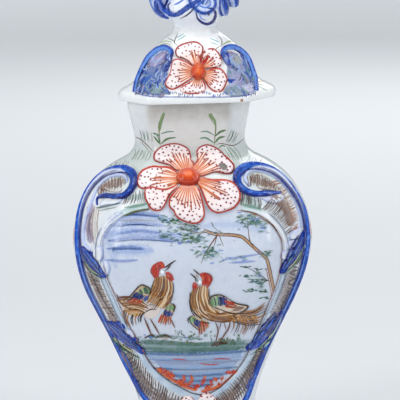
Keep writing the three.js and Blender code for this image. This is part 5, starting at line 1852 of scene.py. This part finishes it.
# Sprigs on the neck and shoulder
sprigs = [
    # ink, width, path
    ("7f9a66", 4, [164, 112.5, 160.5, 123, 159.5, 131]), ("olive", 1.1, [159.5, 122, 159, 131, 160.5, 145.5]),
    ("olive", 0.8, [165.5, 113, 160, 125]), ("leaf", 1.2, [156, 133, 158, 137, 160, 144]),
    ("leaf", 1.5, [160.5, 134, 167, 132, 174.5, 131.5]), ("moss", 2.2, [161, 144, 167, 139, 176, 137.5]),
    ("leaf", 1.9, [159.5, 136, 156, 134, 152.5, 133]), ("moss", 2, [160, 144, 153.5, 136]),
    ("brown", 1, [133.5, 137, 141, 139.5, 154, 152]), ("9c8a72", 0.8, [140, 141, 146, 147, 150, 153]),
    ("7f9a66", 4.2, [209.5, 113.5, 212, 117, 215, 122, 216, 131]),
    ("olive", 1.1, [215.5, 121, 215.5, 131, 214, 145.5]), ("olive", 0.8, [208.5, 115, 214.5, 125]),
    ("moss", 2.4, [215.5, 136, 220, 132, 226, 130]), ("moss", 2.4, [215, 143, 219, 138, 225, 136.5]),
    ("leaf", 1.5, [214.5, 135.5, 207, 131.5, 200.5, 132]), ("leaf", 1.9, [214, 143, 206, 138, 199.5, 138.5]),
    ("brown", 1, [215.5, 144.5, 222, 143.5, 231, 145.5, 237, 144, 244.5, 138]),
    ("moss", 1.6, [219, 148, 222, 145.5, 225.5, 146.5]),
    ("brown", 1, [262, 157.5, 259.5, 166]), ("dark", 0.9, [109.5, 164, 113.5, 167.5]),
    ("dark", 0.8, [97, 171, 101, 167]),
]


def paintNeck():
    sheet = Sheet("photo", 31)
    for ink, width, path in sprigs:
        sheet.stroke(ink, width, path, "start" if width > 4 else "both", 0.9)
    # grass on the side facets and slanting strokes on the shoulder
    for ink, width, low, high, count in (
        ("moss", 0.9, [142, 142, 153, 143], [139, 130, 152, 132], 6),
        ("moss", 1, [226, 142, 234, 143], [231, 130, 239, 132], 5),
        ("9aa794", 0.8, [131, 160, 149, 161], [137, 148, 152, 151], 9),
        ("9fb8a0", 0.9, [232, 161, 243, 160], [224, 147, 233, 146], 6),
        ("a8a8a0", 0.7, [110, 170, 127, 166], [116, 162, 130, 160], 10),
        ("a3b3cc", 0.8, [246, 164, 258, 170], [250, 154, 262, 160], 6),
    ):
        sheet.hatch(ink, width, low, high, count, 0.5, strength=0.6, bow=0.05)
    sheet.lay("neckPaint", vaseShell, "vase")


paintFrame()
paintNeck()


# Petals: fine radial lines, dots and rims, each kept to the petal that lies on top

def insideLoop(outline, spots):
    # even-odd test of many spots at once
    here = pairs(outline)
    after = np.roll(here, -1, 0)
    x, y = np.asarray(spots, float).T[:, :, None]
    (x0, y0), (x1, y1) = here.T, after.T
    crosses = (y0 > y) != (y1 > y)
    at = x0 + (y - y0) / np.where(crosses, y1 - y0, 1) * (x1 - x0)
    return (crosses & (x < at)).sum(1) % 2 == 1


def topPetal(petals, spot):
    over = [(thick, i) for i, (thick, outline) in enumerate(petals) if insideLoop(outline, spot[None])[0]]
    return max(over)[1] if over else -1


petalShare = {
    # the rim's line and its spots, and how far out, how far apart and how often the dots are tried
    "rim": 0.955, "rimSpots": 96, "dotRim": 0.86, "dotsFrom": 0.38, "dotGap": 2.3, "tries": 400,
    "fanFrom": 0.45, "fanWidth": 0.9, "fanSteps": 24,
}
petalStyle = {
    # lines per petal, where they start, dots, stroke width, then strokes of its own: ink, width, path
    "upper": (10, 9.5, 34, 1.5, [
        ("7e7874", 6.4, [219, 164.5, 223, 166, 227, 169]), ("6e6864", 3.4, [223, 164, 226, 168, 222, 169]),
        ("c04a3a", 1.2, [191, 150, 193.5, 158, 192, 165]),
    ]),
    "lower": (10, 8, 26, 1.4, []),
    "lid": (8, 5.6, 16, 1.3, [
        ("b5200c", 3.6, [200, 58, 203, 63.5, 208.5, 57]), ("9c1408", 2, [199, 55, 202, 62, 209, 55]),
        ("d8682a", 1.6, [194, 66, 199, 66.5, 204, 66]),
    ]),
}


def paintPetals(name, target):
    own, (lines, inner, dots, width, strokes) = flowers[name], petalStyle[name]
    petals, heart = own["petals"], np.array(own["heart"], float)
    sheet = Sheet("photo", len(name))
    uniform, spots = sheet.random.uniform, petalShare["rimSpots"]
    for i, (_, outline) in enumerate(petals):
        outline = pairs(outline)
        centre, away = outline.mean(0), outline - heart
        reach = np.linalg.norm(away, axis=1)
        # fine lines fan out from the heart
        middle = np.arctan2(*(centre - heart)[::-1])
        turns = np.angle(np.exp(1j * (np.arctan2(away[:, 1], away[:, 0]) - middle)))
        turns = turns[reach > reach.max() * petalShare["fanFrom"]]
        fan = [turns.min() * petalShare["fanWidth"], turns.max() * petalShare["fanWidth"]]
        for k in range(lines):
            turn = middle + np.interp((k + 0.5) / lines, [0, 1], fan) + sheet.random.normal(0, 0.02)
            out = np.array([math.cos(turn), math.sin(turn)])
            steps = np.linspace(inner, reach.max(), petalShare["fanSteps"])
            far = max([r for r in steps if topPetal(petals, heart + out * r) == i], default=0)
            start = inner + uniform(0, 2)
            end = min(inner + (far - inner) * uniform(0.56, 0.74), far * 0.9)
            if end > start + 2 and topPetal(petals, heart + out * start * 1.15) == i:
                path = [heart + out * r for r in (start, (start + end) / 2, end)]
                sheet.stroke("dd7426", width, path, "end", 0.97, fade="a03c16")
        # a line along the rim wherever this petal lies on top
        rim = evenLoop(centre + (outline - centre) * petalShare["rim"], spots, 6)
        shown = [topPetal(petals, spot) == i and np.linalg.norm(spot - heart) > inner + 3 for spot in rim]
        first = next((k for k in range(spots) if not shown[k - 1]), 0)
        run = []
        for k in [*range(first, first + spots), None]:
            if k is not None and shown[k % spots]:
                run.append(rim[k % spots])
                continue
            if len(run) > 3:
                ink = "bc3218" if np.mean(run, 0)[1] > heart[1] - 4 else "a43028"
                sheet.stroke(ink, width * 1.35, run[::2], "even", 0.97)
            run = []
        # dots strewn over its outer part
        inside = centre + (outline - centre) * petalShare["dotRim"]
        least = inner + (reach.max() - inner) * petalShare["dotsFrom"]
        placed, tries = [], 0
        while len(placed) < dots and tries < petalShare["tries"]:
            tries += 1
            spot = uniform(outline.min(0), outline.max(0))
            gaps = [np.linalg.norm(spot - other) for other in placed]
            free = all(gap > width * petalShare["dotGap"] for gap in gaps)
            free = free and np.linalg.norm(spot - heart) > least and insideLoop(inside, spot[None])[0]
            if free and topPetal(petals, spot) == i:
                placed.append(spot)
                sheet.dot("7a1424", spot, width * uniform(1.1, 1.6))
    washes(sheet, [(ink, size, 0.95, path) for ink, size, path in strokes])
    sheet.lay(name + "PetalPaint", target, own["body"], lift=0.05)


paintPetals("upper", upperFlower)
paintPetals("lower", lowerFlower)
paintPetals("lid", lidFlower)


# The lid: marbled panels beside its flower, dashes along their foot and sprigs above

lidPanels = [
    # lean of its strokes, then the washes of the panel: ink, strength, outline
    (-1.1, [
        ("5672b0", 0.9, [134, 94, 137, 82, 143, 68, 151, 57, 160, 50, 170, 50, 173, 58, 169, 68, 169, 76,
            164, 86, 172, 95, 154, 98]),
        ("a89cc6", 0.85, [147, 69, 151, 60, 160, 53, 167, 53, 163, 62, 154, 70]),
        ("04309c", 0.9, [162, 60, 169, 52, 173, 58, 170, 68, 165, 75, 159, 70]),
        ("2c64c2", 0.85, [136, 91, 140, 78, 148, 70, 157, 77, 150, 91]),
        ("8aa2ac", 0.8, [149, 94, 150, 82, 158, 77, 167, 84, 165, 94]),
    ]),
    (1.1, [
        ("949cc0", 0.9, [257, 93, 255, 80, 251, 68, 244, 57, 234, 50, 225, 50, 222, 56, 226, 66, 226, 76,
            228, 85, 222, 95, 238, 98]),
        ("a9b0ae", 0.85, [230, 54, 238, 55, 243, 64, 241, 71, 233, 67]),
        ("083ca6", 0.9, [222, 52, 228, 51, 232, 60, 240, 70, 231, 70, 224, 62]),
        ("aeaad0", 0.85, [229, 72, 245, 72, 248, 82, 236, 85, 228, 81]),
        ("7f97a4", 0.8, [223, 93, 228, 84, 240, 84, 251, 93, 238, 97]),
        ("4a70b8", 0.85, [243, 57, 250, 66, 256, 84, 253, 93, 248, 80, 241, 66]),
    ]),
]
lidLines = [
    # ink, width, path
    ("deep", 3.6, [172, 52.5, 170.5, 58, 167, 64, 164, 71]), ("deep", 2.4, [142, 74, 144, 69, 147, 64.5]),
    ("cobalt", 3.4, [160, 67, 156, 71, 158.5, 74]),
    ("deep", 2, [136, 90, 139, 79, 144, 68, 151, 57.5]), ("cobalt", 2.4, [139.5, 91, 142.5, 80, 148, 69]),
    ("a9bdf0", 1.6, [159, 52.5, 154, 57, 149.5, 64]),
    ("c9c3dc", 2.2, [165, 54.5, 158, 60, 154, 67]), ("b0a0b4", 1.4, [166, 52, 159, 56, 154, 62]),
    ("8fa9a4", 1.8, [146, 88, 153, 84, 160, 88, 157, 92]),
    ("8fa9a4", 1.4, [150, 92, 146, 86, 150, 80, 156, 80]), ("deep", 1.8, [138, 93.5, 142, 90, 146, 92.5]),
    ("cobalt", 2, [164, 76, 167, 82, 163, 89]),
    ("deep", 3, [224, 58, 228, 64, 234, 69.5]), ("deep", 1.6, [231, 68, 236, 71, 240, 69]),
    ("deep", 2, [234, 49, 243, 56, 250, 68, 255.5, 91]),
    ("7fb0ee", 2.2, [243, 60, 248, 70, 251, 82]), ("cobalt", 2.2, [250, 92, 247, 80, 243, 70]),
    ("b5b9ad", 2.6, [231, 53.5, 237, 58, 240, 65]),
    ("8a8878", 1.2, [230, 52.5, 236, 54, 240, 59]), ("b0a0b4", 1.8, [242, 66, 246, 76, 246, 86]),
    ("9a8c96", 1.4, [229, 82, 233, 90, 240, 93]),
    ("umber", 0.9, [178, 33, 174.5, 42, 178, 45.5]), ("umber", 0.8, [167.5, 38, 172, 40, 175, 42]),
    ("8fc0c4", 1.5, [176.5, 41, 186, 35.5]),
    ("8fc0c4", 1.3, [176.5, 38, 184, 33.5]), ("b9c9a4", 1.4, [172, 42.5, 166, 41, 160, 43]),
    ("a9b98e", 1, [171, 45, 165, 43.5, 158, 46]),
    ("umber", 0.9, [217, 34.5, 221, 39, 222, 43, 221, 46.5]), ("8fc0c4", 1.4, [219.5, 42.5, 209.5, 38]),
    ("8fc0c4", 1.2, [218.5, 45, 210, 42]),
    ("a9b98e", 1.4, [222, 45, 228, 42, 234, 41.5]), ("a9b98e", 1.1, [224, 43.5, 230, 40.5, 236, 42.5]),
    ("umber", 0.8, [221, 45.5, 214, 50]),
    ("c9a05e", 0.9, [257, 83, 260, 81.5, 264, 81]), ("8fb0a0", 1.4, [258, 86, 267, 90.5]),
    ("8fb0a0", 1.1, [257, 84, 261, 84.5, 264, 86.5]),
]


def paintLid():
    wall = joinedWall("lidWall", [lidShell, lidLeftScroll, lidRightScroll])
    wash = Sheet("photo", 41)
    for lean, areas in lidPanels:
        for ink, strength, outline in areas:
            wash.fill(ink, outline, strength)
        outline = pairs(areas[0][2])
        for _ in range(100):
            spot = wash.random.uniform(outline.min(0), outline.max(0))
            turn = lean + wash.random.normal(0, 0.55)
            out = np.array([math.cos(turn), math.sin(turn)]) * wash.random.uniform(2, 4.6)
            if not insideLoop(outline, [spot - out * 0.8, spot, spot + out * 0.8]).all():
                continue
            odds = [0.3, 0.1, 0.25, 0.1, 0.15, 0.1] if spot[1] < 72 else [0.12, 0.26, 0.16, 0.16, 0.12, 0.18]
            ink = wash.random.choice(["9c98c2", "cobalt", "a2bae6", "4c5470", "8f7c8c", "6c929c"], p=odds)
            width = wash.random.uniform(1.8, 3.6)
            wash.stroke(ink, width, [spot - out, spot + out[::-1] * 0.25, spot + out], "both", 0.85)
    wash.lay("lidWash", wall, "lid", washInk, lift=0.03)
    sheet = Sheet("photo", 42)
    for ink, width, path in lidLines:
        sheet.stroke(ink, width, path, "both", 0.88)
    for x in np.arange(135, 256, 2.0):
        top = 92.4 + 1.3 * math.sin(x * 0.21) + sheet.random.uniform(-0.6, 0.6)
        ink = sheet.random.choice(["blue", "deep", "5f6678", "8a8090", "cobalt"])
        width = sheet.random.uniform(0.9, 1.8)
        foot = (x + sheet.random.normal(0, 0.5), top + sheet.random.uniform(2.4, 4))
        sheet.stroke(ink, width, [(x, top), foot], "both", 0.75)
    sheet.stroke("cobalt", 1.1, [135, 93, 150, 96.5, 175, 97, 225, 97, 245, 95.5, 256, 92.5], "both", 0.7)
    sheet.lay("lidPaint", wall, "lid", lift=0.05)
    bpy.data.objects.remove(wall)


paintLid()


# The knop's brushwork: broad cobalt bands, dark lines and white crescents

knopLines = [
    ("cobalt", 6, [168, 15, 175, 15, 181, 12, 188, 7, 199, 0, 203, -6]),
    ("deep", 3, [163, 9, 166, 4, 168, -2]),
    ("cobalt", 5, [155, 0, 156, 9, 161, 15, 169, 18.5]), ("deep", 2, [157, 3, 159, 10, 165, 15]),
    ("dark", 1.1, [180, 19, 188, 14, 195, 7]),
    ("deep", 3.4, [196, 11.5, 198, 19, 206, 24, 213, 21, 215.5, 14, 213, 9, 207, 8]),
    ("0a155f", 2, [206.5, 12, 209.5, 13, 208, 16]),
    ("7fa4ee", 1.6, [199.5, 12, 201, 18, 206.5, 20.5]), ("blue", 2.6, [195, 10, 198, 5, 206, -1]),
    ("cobalt", 3, [220, -2, 220, 9, 222, 15, 226.5, 19.5]),
    ("deep", 1.4, [224.5, 0, 224.5, 7]), ("dark", 1.2, [227, 5.5, 230, 11.5, 234.5, 10.5]),
    ("cobalt", 3.4, [235.5, -1, 239, 2, 242.5, 4.5]),
    ("cobalt", 3, [247.5, 0, 237, 7, 234, 14, 225.5, 20.5]), ("deep", 1.4, [244, 1, 231, 17]),
    ("sky", 2.4, [174, 5, 180, 2, 186, -3]),
    ("deep", 1.8, [170, 11, 168, 6, 171, 2]), ("0a155f", 1.2, [185, 17, 191, 12, 196, 6]),
]


def paintKnopFront():
    sheet = Sheet("photo", 51)
    for ink, width, path in knopLines:
        sheet.stroke(ink, width, path, "both", 0.85)
    sheet.lay("knopPaint", knopSkin, "lid", lift=0.05)


paintKnopFront()


# The sides and the back, which the photo does not show, carry plain sprays of the same flowers

def paintSpray(sheet, foot, reach, blooms, size=1.0):
    # stems from one foot, each with leaves in turn and a small flower at its tip
    foot = np.array(foot, float)
    for share, bend in blooms:
        tip = foot + (bend, reach * share)
        path = np.array([foot, foot + (bend * 0.2, reach * share * 0.5), tip])
        sheet.stroke("olive", 1.1 * size, path, "even", 0.85)
        stem = catmull(path, 8)
        for k in range(3, len(stem) - 2, 2):
            side = -1 if k % 4 == 1 else 1
            out = np.array([side * sheet.random.uniform(5, 9), sheet.random.uniform(2, 6)]) * size
            ink = sheet.random.choice(["moss", "leaf", "green"])
            leaf = [stem[k], stem[k] + out * 0.5 + (0, 1.4), stem[k] + out]
            sheet.stroke(ink, sheet.random.uniform(1.8, 2.8) * size, leaf, "both", 0.8)
        for turn in np.linspace(0, 2 * math.pi, 6)[:-1] + sheet.random.uniform(0, 1):
            out = np.array([math.cos(turn), math.sin(turn)]) * size
            sheet.stroke("f0cdbb", 5.2 * size, [tip + out, tip + out * 6.6], "both", 0.95)
            sheet.stroke("d9762e", 0.9 * size, [tip + out * 1.4, tip + out * 4.4], "both", 0.9, fade="b5401c")
            across = out[::-1] * (1, -1)
            for hand in (-1, 1):
                rim = [tip + out * 2.2 + across * hand, tip + out * 5 + across * 2.4 * hand, tip + out * 7]
                sheet.stroke("b8351f", 0.8 * size, rim, "both", 0.85)
        sheet.dot("c14627", tip, 3.4 * size)


sprays = [
    # easel, target, body, [foot, reach, [share of reach, bend]], size
    ("back", vaseShell, "vase", [((0, 66), 112, [(1.0, 2), (0.76, -26), (0.82, 27), (0.42, 30), (0.4, -31)],
        1.5), ((0, 212), 30, [(1.0, 2), (0.6, -12), (0.66, 13)], 0.8)]),
    ("leftSide", vaseShell, "vase", [((6, 100), 60, [(1.0, 2), (0.5, 7)], 0.8)]),
    ("rightSide", vaseShell, "vase", [((-6, 100), 60, [(1.0, -2), (0.5, -7)], 0.8)]),
    ("backLeft", vaseShell, "vase", [((0, 212), 28, [(1.0, 0)], 0.7)]),
    ("backRight", vaseShell, "vase", [((0, 212), 28, [(1.0, 0)], 0.7)]),
    ("back", lidShell, "lid", [((0, 264), 24, [(1.0, 0), (0.6, -22), (0.62, 22)], 0.9)]),
]
for k, (easel, target, body, plants) in enumerate(sprays):
    sheet = Sheet(easel, 60 + k)
    for foot, reach, blooms, size in plants:
        paintSpray(sheet, foot, reach, blooms, size)
    sheet.lay(easel + body.capitalize() + "Spray", target, body)


# Soft tints under everything, painted shade on the neck, and the worn places

wornSpots = {
    # x, y and size in photo pixels, then how far the glaze is gone
    "vase": [(113, 166, 1.0, 0.5), (260, 164, 0.8, 0.5)],
    "lid": [(241.8, 100.4, 2.4, 0.9), (219.4, 104.6, 1.2, 0.8), (157, 100.6, 1.2, 0.4)],
}


def wearOf(places, spots):
    # bare chips on the front
    flat, wear = toPhoto(places), np.zeros(len(places))
    for x, y, size, depth in spots:
        chip = smooth(size, size * 0.4, np.hypot(flat[:, 0] - x, flat[:, 1] - y))
        wear = np.maximum(wear, depth * chip * (places[:, 1] < 0))
    return wear


def tintShells():
    places = pointsOf(vaseShell.data) / mm
    paint = blankPaint(len(places))
    flat = toPhoto(places)
    front = places[:, 1] < 0
    panel = insideLoop(evenLoop(pairs(pictureBorder["strip"]), 90), flat) & front
    cloud = softNoise(places, 26, 71)
    height, facet = places[:, 2], smooth(31, 26, abs(places[:, 0]))
    layColours(
        paint, (panel * (0.75 + 0.25 * cloud), "bfc9dc", 0.8),
        # the warm grey of the neck's glaze, deepened on the front facet as painted shade
        (~panel * smooth(214, 226, height) * (0.7 + 0.3 * cloud) * (0.4 + 0.6 * facet), "d3cdc6", 0.75),
        # painted shade under the lid's rim, on the neck's front facet
        (facet * smooth(236, 250, height) * smooth(255, 252, height), "99948c", 0.5),  # shade of the rim
        (~panel * smooth(232, 214, height) * smooth(186, 206, height), "c5d3ca", 0.6),
        (~panel * smooth(190, 170, height) * cloud, "ccd6e4", 0.5),
    )
    storePaint(vaseShell.data, paint, wearOf(places, wornSpots["vase"]))
    places = pointsOf(lidShell.data) / mm
    edge = smooth(1.2, 0.2, abs(places[:, 2] - 254.6)) * speckle(places, 7, 5)
    wear = np.maximum(wearOf(places, wornSpots["lid"]), edge * 0.45)
    storePaint(lidShell.data, blankPaint(len(places)), wear)


tintShells()
